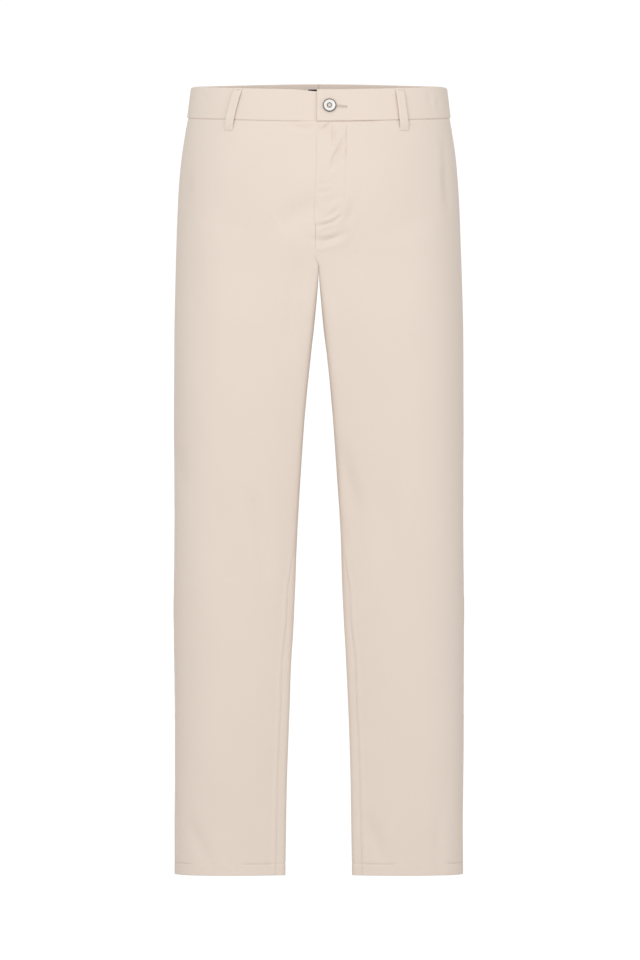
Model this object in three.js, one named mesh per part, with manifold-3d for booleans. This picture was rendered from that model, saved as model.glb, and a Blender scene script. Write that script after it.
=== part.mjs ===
// Linen trousers, filled out as on a body, with nobody in them. Millimetres, +Z up.
// The front faces -Y and the wearer's left is +X. The origin is in the middle of the waist,
// halfway up the waistband at the sides, where a body holds the garment.
//
// Every piece of cloth is a patch of one surface: body(t, z) below. t runs round one side of the
// garment, from 0 at the centre front or inseam, through 0.5 at the outermost side, to 1 at the
// centre back or inseam again. z is the height. A piece takes a range of t and z, and lies a
// named distance out from the surface, or in from it where another piece covers it.
import * as THREE from "three";
import { mergeVertices } from "three/addons/utils/BufferGeometryUtils.js";
import Module from "manifold-3d";

// ---------------------------------------------------------------- driving sizes
const CLOTH = 1.3; // wall of a single layer, with the slack of its seams
const BAND = 2.6; // wall of the doubled waistband
const SEAM_GAP = 0.3; // between two pieces sewn edge to edge
const LAYER_GAP = 0.5; // between two pieces that lie on each other
const POCKET_GAP = 0.9; // the same round the pockets, where the cloth curves most
const HEM_Z = -1024.5;
const HEM_DEPTH = 18;
const CROTCH_Z = -222;
const FRONT_CURVE_Z = -196; // where the centre front seam starts to curve under
const BACK_CURVE_Z = -90; // the same at the centre back
const LEVEL_Z = -120; // from here down, rows of the mesh are level

// The outline at each height: half width at the side, the inner edge of the leg, how far the
// front and back stand out, and the roundness of the section (2 is an ellipse, more is squarer),
// which is another one on the inner half of a leg. There the front and back also draw in, by the
// share hollow of their depth at the leg's inner edge.
const OUTLINE = [
  { z: 40, side: 167.4, inner: 0.4, front: 97, back: 95, power: 2.35, innerPower: 9, hollow: 0 },
  { z: 0, side: 171.6, inner: 0.4, front: 101, back: 101, power: 2.35, innerPower: 9, hollow: 0 },
  { z: -35, side: 176.5, inner: 0.4, front: 105.5, back: 107, power: 2.35, innerPower: 9, hollow: 0 },
  { z: -70, side: 181, inner: 0.4, front: 109, back: 116, power: 2.35, innerPower: 9, hollow: 0 },
  { z: -110, side: 184.6, inner: 0.4, front: 112, back: 126, power: 2.33, innerPower: 9, hollow: 0 },
  { z: -150, side: 187.2, inner: 0.4, front: 112, back: 131, power: 2.3, innerPower: 9, hollow: 0 },
  { z: -190, side: 189.3, inner: 0.4, front: 109, back: 128, power: 2.27, innerPower: 9, hollow: 0 },
  { z: -222, side: 190.2, inner: 0.5, front: 105.5, back: 120, power: 2.25, innerPower: 9, hollow: 0 },
  { z: -280, side: 191.6, inner: 4.7, front: 99.5, back: 106, power: 2.25, innerPower: 10, hollow: 0 },
  { z: -340, side: 192, inner: 11.3, front: 94, back: 96, power: 2.25, innerPower: 11, hollow: 0.07 },
  { z: -400, side: 192, inner: 17.6, front: 89, back: 88.5, power: 2.25, innerPower: 12, hollow: 0.15 },
  { z: -480, side: 192, inner: 23.4, front: 82.5, back: 80, power: 2.25, innerPower: 13, hollow: 0.23 },
  { z: -560, side: 192, inner: 28.3, front: 76, back: 73, power: 2.25, innerPower: 13.5, hollow: 0.28 },
  { z: -640, side: 192, inner: 32.2, front: 70, back: 69, power: 2.25, innerPower: 14, hollow: 0.28 },
  { z: -720, side: 192, inner: 36.3, front: 64.5, back: 66, power: 2.22, innerPower: 14, hollow: 0.28 },
  { z: -800, side: 192, inner: 39.8, front: 59, back: 63, power: 2.2, innerPower: 14, hollow: 0.28 },
  { z: -880, side: 192, inner: 42.6, front: 54, back: 59.5, power: 2.2, innerPower: 14, hollow: 0.28 },
  { z: -960, side: 192, inner: 44.2, front: 49.5, back: 55.5, power: 2.2, innerPower: 14, hollow: 0.28 },
  { z: -1040, side: 192, inner: 45.2, front: 45.5, back: 51, power: 2.2, innerPower: 14, hollow: 0.28 },
];

// Seams, by height: how far behind (+) or ahead (-) of the outermost side the side seam runs,
// along the cloth, and how far forward of mid-depth the inseam runs, as a share of the depth.
const SEAMS = [
  { z: 40, side: 17, inseam: 0 },
  { z: -190, side: 14, inseam: 0 },
  { z: -222, side: 12, inseam: 0 },
  { z: -450, side: 2, inseam: 0.73 },
  { z: -600, side: -4.5, inseam: 0.932 },
  { z: -700, side: -9, inseam: 0.982 },
  { z: -800, side: -13, inseam: 0.989 },
  { z: -1040, side: -21, inseam: 0.994 },
];

// The waistband's top edge and its seam to the panels dip at the front and rise at the back:
// height = level + tilt * sin(angle), with the angle -90 at the centre front.
const BAND_TOP = { level: 22, tilt: 9.8 };
const BAND_SEAM = { level: -19.8, tilt: 10.2 };
const UNDER_END_DIP = 3; // the end under the lap has slipped this far down at the centre

// Front fly: the wearer's left laps over the right.
const FLY = {
  bottomZ: -172, // the lap ends here, and below it the two fronts are sewn edge to edge
  lap: 2.4, // the lap's edge beyond the centre line
  under: 3, // the right front's edge beyond the centre line, under the lap
  rise: 1.15, // the lap stands this far out, and the right front this far in
  spread: 45, // over this width, along the cloth
  pull: -4.4, // the centre seam is drawn this far towards the wearer's right
};
const UNDERLAP = { from: -9, width: 44, bottomZ: -170, out: -3.4, wall: 1.2 };
const ZIP = {
  from: 3.6,
  width: 23,
  topZ: -33,
  lastRow: 6, // it ends at this row of the front's mesh
  tape: 0.8,
  chain: 1.5,
  chainWidth: 5,
  clear: 0.8,
};

// Waistband ends at the centre front.
const BAND_OUT = 0.6; // how far the waistband stands proud of the panels
const BAND_LAP = { edge: 2.4, rise: 1.1, drop: 2, under: 40, flatTo: 64, level: 92 };
const BUTTONHOLE = { from: 13, to: 36, slit: 1.3, eye: 3.6 };

// Slant pockets in the side of each front.
const POCKET = {
  mouthAhead: 36, // the mouth starts this far ahead of the side seam, at the waistband
  length: 166, // down the side seam from the waistband
  gape: 1.1, // the mouth stands this far open at its middle
  facingUnder: 20, // the facing runs this far in under the front
  bagAhead: 128, // the bag reaches this far ahead of the side seam
  bagBottomZ: -262,
};

// Belt loops, by the side of the garment and how far their ends are from the centre line, as
// seen from the front or back.
const LOOP = { width: 11.6, wall: 1.4, gap: 2.1, below: 14, endGap: 0.35 };
const LOOPS = [
  { name: "belt_loop_front_right", side: -1, face: 0, top: 107, bottom: 114.5 },
  { name: "belt_loop_front_left", side: 1, face: 0, top: 107.5, bottom: 108.7 },
  { name: "belt_loop_back_right", side: -1, face: 1, top: 117, bottom: 118 },
  { name: "belt_loop_back_left", side: 1, face: 1, top: 118, bottom: 117 },
  { name: "belt_loop_centre_back", side: 1, face: 1, top: 0, bottom: 1 },
];

const BUTTON_GAP = 0.45; // between the button and the band
const BUTTON = { x: 14, z: -9.4, radius: 9, wall: 2.6, rim: 1.7, hole: 1.05, holePitch: 1.75 };
const LABEL = { width: 29, height: 26, top: 7, wall: 0.7 };

// The largest folds. Each is a soft trough, or a ridge where depth is negative, along a line in
// the front view (x, z) on the front or back face, or in the side view (y, z) on a side.
const FOLDS = [
  { face: "front", from: [2, -136], to: [-52, -168], width: 16, depth: 4 },
  { face: "front", from: [-30, -208], to: [-38, -330], width: 12, depth: 2.8 },
  { face: "front", from: [-95, -530], to: [-74, -632], width: 16, depth: 2.4 },
  { face: "front", from: [-190, -486], to: [-168, -492], width: 8, depth: 1.6 },
  { face: "front", from: [-172, -952], to: [-146, -1008], width: 10, depth: 2.2 },
  { face: "front", from: [-174, -91], to: [-177, -137], width: 8, depth: 1.2 },
  { face: "front", from: [50, -142], to: [46, -232], width: 12, depth: 2.4 },
  { face: "front", from: [28, -456], to: [50, -548], width: 11, depth: 2.4 },
  { face: "front", from: [95, -510], to: [86, -612], width: 15, depth: 2 },
  { face: "front", from: [62, -944], to: [86, -1008], width: 11, depth: 1.9 },
  { face: "front", from: [158, -925], to: [160, -1060], width: 9, depth: 1.6 },
  { face: "front", from: [168, -90], to: [173, -143], width: 8, depth: 1.8 },
  { face: "back", from: [14, -196], to: [96, -256], width: 13, depth: 2.8 },
  { face: "back", from: [-16, -202], to: [-88, -270], width: 14, depth: 2.6 },
  { face: "back", from: [58, -332], to: [118, -368], width: 13, depth: 2 },
  { face: "back", from: [56, -560], to: [158, -542], width: 12, depth: 2.2 },
  { face: "back", from: [-68, -574], to: [-150, -592], width: 13, depth: 2.4 },
  { face: "back", from: [-60, -616], to: [-128, -606], width: 11, depth: 1.7 },
  { face: "back", from: [96, -790], to: [120, -964], width: 14, depth: 2 },
  { face: "back", from: [-102, -820], to: [-128, -948], width: 13, depth: 1.8 },
];

// ---------------------------------------------------------------- small maths
const mix = (a, b, share) => a + (b - a) * share;
const clamp = (value, low, high) => Math.min(high, Math.max(low, value));
function smooth(low, high, value) {
  const share = clamp((value - low) / (high - low), 0, 1);
  return share * share * (3 - 2 * share);
}

// A smooth curve through one column of a table whose rows run down in z.
function column(table, name, z) {
  const last = table.length - 1;
  let i = 0;
  while (i < last - 1 && z < table[i + 1].z) i++;
  const slope = (k) => {
    const below = table[Math.min(k + 1, last)];
    const above = table[Math.max(k - 1, 0)];
    return (below[name] - above[name]) / (below.z - above.z);
  };
  const [a, b] = [table[i], table[i + 1]];
  const step = b.z - a.z;
  const s = clamp((z - a.z) / step, 0, 1);
  const [s2, s3] = [s * s, s * s * s];
  return (
    (2 * s3 - 3 * s2 + 1) * a[name] +
    (s3 - 2 * s2 + s) * step * slope(i) +
    (3 * s2 - 2 * s3) * b[name] +
    (s3 - s2) * step * slope(i + 1)
  );
}

// ---------------------------------------------------------------- the body's surface
const ARC_STEPS = 192;

// Part of a rounded oval, from one angle to another, as many close points.
function ovalArc(oval, [fromDegrees, toDegrees]) {
  const { x, y, halfWidth, depth, power, innerPower, hollow } = oval;
  const points = [];
  for (let i = 0; i <= ARC_STEPS * 4; i++) {
    const angle = THREE.MathUtils.degToRad(mix(fromDegrees, toDegrees, i / (ARC_STEPS * 4)));
    const [c, s] = [Math.cos(angle), Math.sin(angle)];
    const sharp = c < 0 ? innerPower : power;
    const reach = (Math.abs(c) ** sharp + Math.abs(s) ** sharp) ** (-1 / sharp);
    const across = reach * Math.abs(c);
    const out = reach * Math.abs(s) * (c < 0 ? 1 - hollow * across ** 2 : 1);
    points.push([x + halfWidth * Math.sign(c) * across, y + depth * Math.sign(s) * out]);
  }
  return points;
}

function lengths(points) {
  const run = [0];
  for (let i = 1; i < points.length; i++) {
    const [a, b] = [points[i - 1], points[i]];
    run.push(run[i - 1] + Math.hypot(b[0] - a[0], b[1] - a[1]));
  }
  return run;
}

// Reads a curve that is given at rising places, at another rising row of places.
function interpolate(wanted, places, values) {
  let k = 0;
  return wanted.map((place) => {
    while (k < places.length - 2 && places[k + 1] < place) k++;
    const share = clamp((place - places[k]) / (places[k + 1] - places[k] || 1), 0, 1);
    return values[k].map((value, axis) => mix(value, values[k + 1][axis], share));
  });
}

// 0 where the centre seam starts to curve under the body, 1 at the crotch, by a quarter circle.
function curvedUnder(startZ, z) {
  const down = clamp((startZ - z) / (startZ - CROTCH_Z), 0, 1);
  return 1 - Math.sqrt(1 - down * down);
}

// How far a point has turned from the torso's section (0) to the leg's (1). At the centre seam
// this curves the seam under. Away from it the cloth turns slowly, from the hips to well down
// the thigh, and in between is the front edge of the inner thigh.
const THIGH = { fromZ: -70, toZ: -390 };
const CORNER = { fromZ: -198, toZ: -300 };
function legShare(t, z) {
  const away = smooth(THIGH.fromZ, THIGH.toZ, z);
  if (t >= 0.5) return mix(curvedUnder(BACK_CURVE_Z, z), away, smooth(1, 0.83, t));
  const corner = smooth(CORNER.fromZ, CORNER.toZ, z);
  const edge = mix(curvedUnder(FRONT_CURVE_Z, z), corner, smooth(0.04, 0.11, t));
  return mix(edge, away, smooth(0.2, 0.36, t));
}

// One row of the garment's left side: the front half and back half of its section, meeting at
// the outermost side.
const sections = new Map();
function section(z) {
  const key = Math.round(z * 1000);
  if (!sections.has(key)) sections.set(key, makeSection(z));
  return sections.get(key);
}

// Just above the crotch the cloth of the inner thigh, the fork, gathers at the centre line, so
// that the front stays flat up to the edge of each leg.
const FORK = { fromZ: -150, toZ: -200 };
function makeSection(z) {
  const { side, inner, front, back, power, innerPower, hollow } = Object.fromEntries(
    Object.keys(OUTLINE[0]).map((name) => [name, column(OUTLINE, name, z)])
  );
  const [y, depth] = [(back - front) / 2, (back + front) / 2];
  const torsoOval = { x: 0, y, halfWidth: side, depth, power, innerPower: power, hollow: 0 };
  const halfLeg = (side - inner) / 2;
  const legX = (side + inner) / 2;
  const legOval = { x: legX, y, halfWidth: halfLeg, depth, power, innerPower, hollow };
  const forward = Math.max(column(SEAMS, "inseam", z), 0);
  const turn = THREE.MathUtils.radToDeg(
    Math.atan2(forward, (1 - forward ** innerPower) ** (1 / innerPower))
  );
  const shares = Array.from({ length: ARC_STEPS + 1 }, (_, i) => i / ARC_STEPS);
  return [[-90, 0, -180 + turn, 0], [0, 90, 0, 180 + turn]].map((angles, face) => {
    const [torsoCurve, legCurve] = [
      ovalArc(torsoOval, angles.slice(0, 2)),
      ovalArc(legOval, angles.slice(2)),
    ];
    const [torsoRun, legRun] = [lengths(torsoCurve), lengths(legCurve)];
    const leg = interpolate(shares.map((share) => share * legRun.at(-1)), legRun, legCurve);
    let wanted = shares.map((share) => share * torsoRun.at(-1));
    if (face === 0) {
      const inset = inner * (1 - curvedUnder(FRONT_CURVE_Z, z));
      const places = torsoCurve.map(([x]) => x);
      const ahead = interpolate(leg.map(([x]) => x - inset), places, torsoRun.map((run) => [run]));
      const gathered = smooth(FORK.fromZ, FORK.toZ, z);
      wanted = wanted.map((length, i) => mix(length, ahead[i][0], gathered));
    }
    const torso = interpolate(wanted, torsoRun, torsoCurve);
    const points = torso.map((point, i) => {
      const share = legShare((face + shares[i]) / 2, z);
      return point.map((value, axis) => mix(value, leg[i][axis], share));
    });
    return { points, length: lengths(points)[ARC_STEPS] };
  });
}

// A distance along the cloth as a step in t.
const frontStep = (z, distance) => (0.5 * distance) / section(z)[0].length;
const backStep = (z, distance) => (0.5 * distance) / section(z)[1].length;
// The t of the front (face 0) or back (face 1) at a distance x from the centre line.
function tAtX(face, x, z) {
  let [centre, side] = [face, 0.5];
  for (let halving = 0; halving < 20; halving++) {
    const middle = (centre + side) / 2;
    if (plainPoint(middle, z).x < x) centre = middle;
    else side = middle;
  }
  return centre;
}
const sideSeamT = (z) => {
  const s = column(SEAMS, "side", z);
  return 0.5 + (s > 0 ? backStep(z, s) : frontStep(z, s));
};

// The plain surface of the left side. Past the centre line it mirrors itself. Its normal is
// taken from one side only at the centre seam, and above the crotch, where the surface folds.
function plainPoint(t, z) {
  if (t < 0) return plainPoint(-t, z).multiply(new THREE.Vector3(-1, 1, 1));
  if (t > 1) return plainPoint(2 - t, z).multiply(new THREE.Vector3(-1, 1, 1));
  const half = section(z)[t < 0.5 ? 0 : 1];
  const along = clamp((t < 0.5 ? t : t - 0.5) * 2, 0, 1) * ARC_STEPS;
  const i = Math.min(Math.floor(along), ARC_STEPS - 1);
  const [a, b] = [half.points[i], half.points[i + 1]];
  return new THREE.Vector3(mix(a[0], b[0], along - i), mix(a[1], b[1], along - i), z);
}

function plainNormal(t, z) {
  const [stepT, stepZ] = [0.002, 1.5];
  const atStart = t >= 0 && t < stepT;
  const atEnd = t <= 1 && t > 1 - stepT;
  const fromT = atStart ? t : t - stepT;
  const toT = atEnd ? t : t + stepT;
  const bottomZ = z > CROTCH_Z ? Math.max(z - stepZ, CROTCH_Z) : z - stepZ;
  const across = plainPoint(toT, z).sub(plainPoint(fromT, z));
  const down = plainPoint(t, bottomZ).sub(plainPoint(t, z + stepZ));
  return down.cross(across).normalize();
}

function distanceToLine(p, a, b) {
  const [dx, dy] = [b[0] - a[0], b[1] - a[1]];
  const share = clamp(((p[0] - a[0]) * dx + (p[1] - a[1]) * dy) / (dx * dx + dy * dy), 0, 1);
  return Math.hypot(p[0] - a[0] - share * dx, p[1] - a[1] - share * dy);
}

// How deep the folds are at a point of the finished garment.
function foldDepth(p, normal) {
  let depth = 0;
  for (const fold of FOLDS) {
    const facing = fold.face === "front" ? -normal.y : normal.y;
    if (facing <= 0) continue;
    const far = distanceToLine([p.x, p.z], fold.from, fold.to) / fold.width;
    depth += fold.depth * Math.exp(-far * far) * smooth(0, 0.35, facing);
  }
  return depth;
}

// The centre front is drawn a little towards the wearer's right, most at the fly's end.
function centrePull(p) {
  if (p.y > 0) return 0;
  const down = smooth(-30, -190, p.z) * smooth(CROTCH_Z, CROTCH_Z + 14, p.z);
  return FLY.pull * down * Math.exp(-((p.x / 45) ** 2));
}

// A point of the garment, side 1 for the wearer's left and -1 for the right, moved out along
// the cloth's normal.
function bodyPoint(side, t, z, out) {
  const normal = plainNormal(t, z);
  const p = plainPoint(t, z);
  p.x *= side;
  normal.x *= side;
  p.addScaledVector(normal, out - foldDepth(p, normal));
  p.x += centrePull(p);
  return p;
}

// ---------------------------------------------------------------- walls of cloth
// A closed wall between two grids of points. wrap joins the last column to the first, and
// mirrored turns the faces of a piece on the wearer's right.
function gridWall(columns, rows, outerAt, innerAt, { wrap = false, mirrored = false } = {}) {
  const positions = [];
  const index = [];
  const across = wrap ? columns : columns + 1;
  for (const at of [outerAt, innerAt]) {
    for (let j = 0; j <= rows; j++) {
      for (let i = 0; i < across; i++) positions.push(...at(i, j).toArray());
    }
  }
  const layer = across * (rows + 1);
  const outer = (i, j) => j * across + (i % across);
  const inner = (i, j) => layer + outer(i, j);
  const quad = (a, b, c, d) =>
    mirrored ? index.push(a, c, b, a, d, c) : index.push(a, b, c, a, c, d);
  for (let j = 0; j < rows; j++) {
    for (let i = 0; i < columns; i++) {
      quad(outer(i, j), outer(i, j + 1), outer(i + 1, j + 1), outer(i + 1, j));
      quad(inner(i, j), inner(i + 1, j), inner(i + 1, j + 1), inner(i, j + 1));
    }
    if (wrap) continue;
    quad(outer(0, j), inner(0, j), inner(0, j + 1), outer(0, j + 1));
    quad(outer(columns, j), outer(columns, j + 1), inner(columns, j + 1), inner(columns, j));
  }
  for (let i = 0; i < columns; i++) {
    quad(outer(i, 0), outer(i + 1, 0), inner(i + 1, 0), inner(i, 0));
    quad(outer(i, rows), inner(i, rows), inner(i + 1, rows), outer(i + 1, rows));
  }
  const geometry = new THREE.BufferGeometry();
  geometry.setAttribute("position", new THREE.Float32BufferAttribute(positions, 3));
  geometry.setIndex(index);
  geometry.computeVertexNormals();
  return geometry;
}

// A wall of one thickness on the body. place(u, v) gives t, z and out at a share u across and v
// down, and the wall runs from there inwards.
function wall(side, columns, rows, place, thickness, wrap = false) {
  const at = (inset) => (i, j) => {
    const { t, z, out } = place(i / columns, j / rows);
    return bodyPoint(side, t, z, out - inset);
  };
  return gridWall(columns, rows, at(0), at(thickness), { wrap, mirrored: side < 0 });
}

const edgeHeight = (edge, t) => {
  const angle = (clamp(Math.abs(t), 0, 1) - 0.5) * Math.PI;
  return edge.level + edge.tilt * Math.sin(angle);
};

// Heights of the panels' rows: slanting with the waistband at the top, level from LEVEL_Z down,
// close together where the seat curves under, then evenly down the leg.
const TOP_ROWS = 4;
const CURVE_ROWS = 10;
const LEG_ROWS = 25;
const PANEL_ROWS = TOP_ROWS + CURVE_ROWS + LEG_ROWS;
function rowHeight(row, t) {
  if (row <= TOP_ROWS) {
    return mix(edgeHeight(BAND_SEAM, t) - SEAM_GAP, LEVEL_Z, row / TOP_ROWS);
  }
  if (row <= TOP_ROWS + CURVE_ROWS) {
    const turn = ((row - TOP_ROWS) / CURVE_ROWS) * (Math.PI / 2);
    return mix(LEVEL_Z, CROTCH_Z, Math.sin(turn));
  }
  return mix(CROTCH_Z, HEM_Z, (row - TOP_ROWS - CURVE_ROWS) / LEG_ROWS);
}

// ---------------------------------------------------------------- panels
const pocketMouthT = (z) => {
  const top = edgeHeight(BAND_SEAM, 0.45);
  const down = clamp((top - z) / POCKET.length, 0, 1);
  const ahead = POCKET.mouthAhead * (1 - down ** 1.15);
  return sideSeamT(z) - frontStep(z, ahead);
};

// The front's outer edge is the pocket mouth, and below it the side seam.
const frontOuterT = (z) => Math.min(pocketMouthT(z), sideSeamT(z)) - frontStep(z, SEAM_GAP / 2);

// Where a front ends at the centre: past the centre line at the fly, at it below.
function centreEdge(side, z) {
  const settled = smooth(FLY.bottomZ + 16, FLY.bottomZ + 2, z);
  const flyEdge = side > 0 ? -FLY.lap : -FLY.under;
  return mix(flyEdge, SEAM_GAP / 2, settled);
}

// How far a front lies out (the lap) or in (the side under it) near the fly.
function flyOut(side, fromCentre, z) {
  const lapped = smooth(FLY.spread, 6, fromCentre) * smooth(FLY.bottomZ - 30, FLY.bottomZ, z);
  return side * FLY.rise * lapped;
}

// Columns are closer together towards the centre seam and inseam.
const nearCentre = (u) => 0.4 * u + 0.6 * u ** 1.5;

const FRONT_COLUMNS = 15;
const BACK_COLUMNS = 16;
function frontPanel(side) {
  return wall(
    side,
    FRONT_COLUMNS,
    PANEL_ROWS,
    (u, v) => {
      const row = Math.round(v * PANEL_ROWS);
      const roughZ = rowHeight(row, u * 0.5);
      const start = frontStep(roughZ, centreEdge(side, roughZ));
      const t = mix(start, frontOuterT(roughZ), nearCentre(u));
      const z = rowHeight(row, t);
      const down = clamp((edgeHeight(BAND_SEAM, 0.45) - z) / POCKET.length, 0, 1);
      const open = Math.sin(down * Math.PI) * smooth(0.8, 1, u) * POCKET.gape;
      return { t, z, out: flyOut(side, plainPoint(t, z).x, z) + open };
    },
    CLOTH
  );
}

function backPanel(side) {
  return wall(
    side,
    BACK_COLUMNS,
    PANEL_ROWS,
    (u, v) => {
      const row = Math.round(v * PANEL_ROWS);
      const roughZ = rowHeight(row, 0.5 + u * 0.5);
      const start = sideSeamT(roughZ) + backStep(roughZ, SEAM_GAP / 2);
      const t = mix(1 - backStep(roughZ, SEAM_GAP / 2), start, nearCentre(1 - u));
      return { t, z: rowHeight(row, t), out: 0 };
    },
    CLOTH
  );
}

// ---------------------------------------------------------------- pockets
const UNDER_FRONT = -(CLOTH + POCKET_GAP);

// The facing fills the slant of the pocket and runs in under the front.
function pocketFacing(side) {
  const bottomZ = edgeHeight(BAND_SEAM, 0.5) - POCKET.length - 8;
  return wall(
    side,
    5,
    8,
    (u, v) => {
      const roughZ = mix(edgeHeight(BAND_SEAM, 0.5), bottomZ, v);
      const seam = sideSeamT(roughZ) - frontStep(roughZ, SEAM_GAP / 2);
      const mouth = Math.min(pocketMouthT(roughZ), seam);
      const t = mix(mouth - frontStep(roughZ, POCKET.facingUnder), seam, u);
      const z = mix(edgeHeight(BAND_SEAM, t) - SEAM_GAP, bottomZ, v);
      const room = (seam - mouth) / frontStep(z, 22);
      const rise = clamp(room, 0, 1) * smooth(mouth + frontStep(z, 1.5), seam, t);
      return { t, z, out: UNDER_FRONT * (1 - rise) };
    },
    CLOTH
  );
}

// The bag, both layers as one, hangs inside the front from the waistband.
function pocketBag(side) {
  return wall(
    side,
    8,
    9,
    (u, v) => {
      const roughZ = mix(edgeHeight(BAND_SEAM, 0.4), POCKET.bagBottomZ, v);
      const seam = sideSeamT(roughZ) - frontStep(roughZ, 3);
      const slope = 1 - 0.25 * Math.sin((v * Math.PI) / 2);
      const t = mix(seam - frontStep(roughZ, POCKET.bagAhead * slope), seam, u);
      const corner = 18 * ((2 * u - 1) ** 4) * v ** 3;
      const z = mix(edgeHeight(BAND_SEAM, t) - SEAM_GAP - 1, POCKET.bagBottomZ + corner, v);
      return { t, z, out: 2 * UNDER_FRONT };
    },
    CLOTH
  );
}

// ---------------------------------------------------------------- fly
function flyUnderlap() {
  return wall(
    1,
    5,
    7,
    (u, v) => {
      const narrow = UNDERLAP.width * (1 - 0.35 * v ** 3);
      const roughZ = mix(BAND_SEAM.level - BAND_SEAM.tilt, UNDERLAP.bottomZ, v);
      const t = frontStep(roughZ, UNDERLAP.from + narrow * u);
      return { t, z: roughZ - SEAM_GAP - 1, out: UNDERLAP.out };
    },
    UNDERLAP.wall
  );
}

// Tape and closed chain. Its inner face steps in where the chain runs.
function flyZip() {
  const step = 0.2;
  const chainFrom = (ZIP.width - ZIP.chainWidth) / 2;
  const chainTo = chainFrom + ZIP.chainWidth;
  const stations = [0, chainFrom, chainFrom + step, chainTo - step, chainTo, ZIP.width];
  const rows = ZIP.lastRow;
  const deep = (i) => (i === 2 || i === 3 ? ZIP.chain : ZIP.tape);
  const at = (i, j, inset) => {
    const z = Math.min(ZIP.topZ, rowHeight(j, 0));
    const fromCentre = ZIP.from + stations[i];
    const out = flyOut(1, fromCentre, z) - CLOTH - ZIP.clear - inset;
    return bodyPoint(1, frontStep(z, fromCentre), z, out);
  };
  return gridWall(stations.length - 1, rows, (i, j) => at(i, j, 0), (i, j) => at(i, j, deep(i)));
}

// ---------------------------------------------------------------- waistband
const waistStep = (distance) => frontStep(-5, distance);

// How far the band lies out from the body at a distance from the centre front. The left end
// laps over, and the right end runs in behind it.
function bandOut(side, fromCentre) {
  const { rise, drop, flatTo, level } = BAND_LAP;
  if (side > 0) return BAND_OUT + rise * smooth(level, flatTo, fromCentre);
  return BAND_OUT - drop * smooth(30, 4, fromCentre);
}

function waistband(side) {
  const columns = 26;
  const startAt = side > 0 ? -BAND_LAP.edge : -BAND_LAP.under;
  return wall(
    side,
    columns,
    3,
    (u, v) => {
      const t = mix(waistStep(startAt), 1 - backStep(-5, SEAM_GAP / 2), u);
      const fromCentre = t / waistStep(1);
      const dip = side < 0 ? UNDER_END_DIP * smooth(36, 2, fromCentre) : 0;
      const z = mix(edgeHeight(BAND_TOP, t) - dip, edgeHeight(BAND_SEAM, t), v);
      return { t, z, out: bandOut(side, fromCentre) };
    },
    BAND
  );
}

// ---------------------------------------------------------------- belt loops
function beltLoop({ side, face, top, bottom }) {
  const rows = 10;
  const topOut = BAND_OUT + LOOP.endGap;
  return wall(
    side,
    2,
    rows,
    (u, v) => {
      const row = Math.round(v * rows) / rows;
      const middle = tAtX(face, mix(top, bottom, 1 - (1 - row) ** 1.6), -5);
      const aside = (u - 0.5) * LOOP.width;
      const t = middle + (face === 0 ? waistStep(aside) : backStep(-5, aside));
      const high = edgeHeight(BAND_TOP, t) - 0.6;
      const low = edgeHeight(BAND_SEAM, t) - LOOP.below;
      const seat = mix(topOut, LOOP.endGap, smooth(0.72, 0.8, row));
      const arch = LOOP.gap * smooth(0, 0.2, row) * smooth(1, 0.84, row);
      return { t, z: mix(high, low, row), out: seat + arch + LOOP.wall };
    },
    LOOP.wall
  );
}

// ---------------------------------------------------------------- hems
// The turned-up edge inside each leg.
function hem(side) {
  const columns = FRONT_COLUMNS + BACK_COLUMNS;
  const seam = sideSeamT(HEM_Z);
  return wall(
    side,
    columns,
    1,
    (u, v) => {
      const i = Math.round(u * columns);
      const t = i < FRONT_COLUMNS
        ? seam * nearCentre(i / FRONT_COLUMNS)
        : mix(1, seam, nearCentre((columns - i) / BACK_COLUMNS));
      return { t, z: mix(HEM_Z + HEM_DEPTH, HEM_Z, v), out: -(CLOTH + LAYER_GAP) };
    },
    CLOTH,
    true
  );
}

// ---------------------------------------------------------------- label
function label() {
  return wall(
    1,
    6,
    2,
    (u, v) => {
      const t = 1 + backStep(-5, (u - 0.5) * LABEL.width);
      const high = BAND_TOP.level + BAND_TOP.tilt - LABEL.top;
      const out = BAND_OUT - BAND - LAYER_GAP;
      return { t, z: high - LABEL.height * v, out };
    },
    LABEL.wall
  );
}

// ---------------------------------------------------------------- solids cut and joined
const wasm = await Module();
wasm.setup();

function solid(geometry) {
  const bare = geometry.clone();
  bare.deleteAttribute("normal");
  bare.deleteAttribute("uv");
  const merged = mergeVertices(bare, 1e-4);
  const vertProperties = new Float32Array(merged.attributes.position.array);
  const triVerts = new Uint32Array(merged.index.array);
  return new wasm.Manifold(new wasm.Mesh({ numProp: 3, vertProperties, triVerts }));
}

function geometryOf(made) {
  const mesh = made.getMesh();
  const positions = [];
  for (let i = 0; i < mesh.numVert; i++) {
    positions.push(...mesh.vertProperties.slice(i * mesh.numProp, i * mesh.numProp + 3));
  }
  const geometry = new THREE.BufferGeometry();
  geometry.setAttribute("position", new THREE.Float32BufferAttribute(positions, 3));
  geometry.setIndex([...mesh.triVerts]);
  geometry.computeVertexNormals();
  return geometry;
}

// Where something on the waistband's left end sits: its place and how it faces.
function bandSeat(x, z, out) {
  const t = waistStep(x);
  const seat = new THREE.Object3D();
  seat.position.copy(bodyPoint(1, t, z, out));
  seat.quaternion.setFromUnitVectors(new THREE.Vector3(0, 0, 1), plainNormal(t, z));
  seat.updateMatrix();
  return seat;
}

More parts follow.
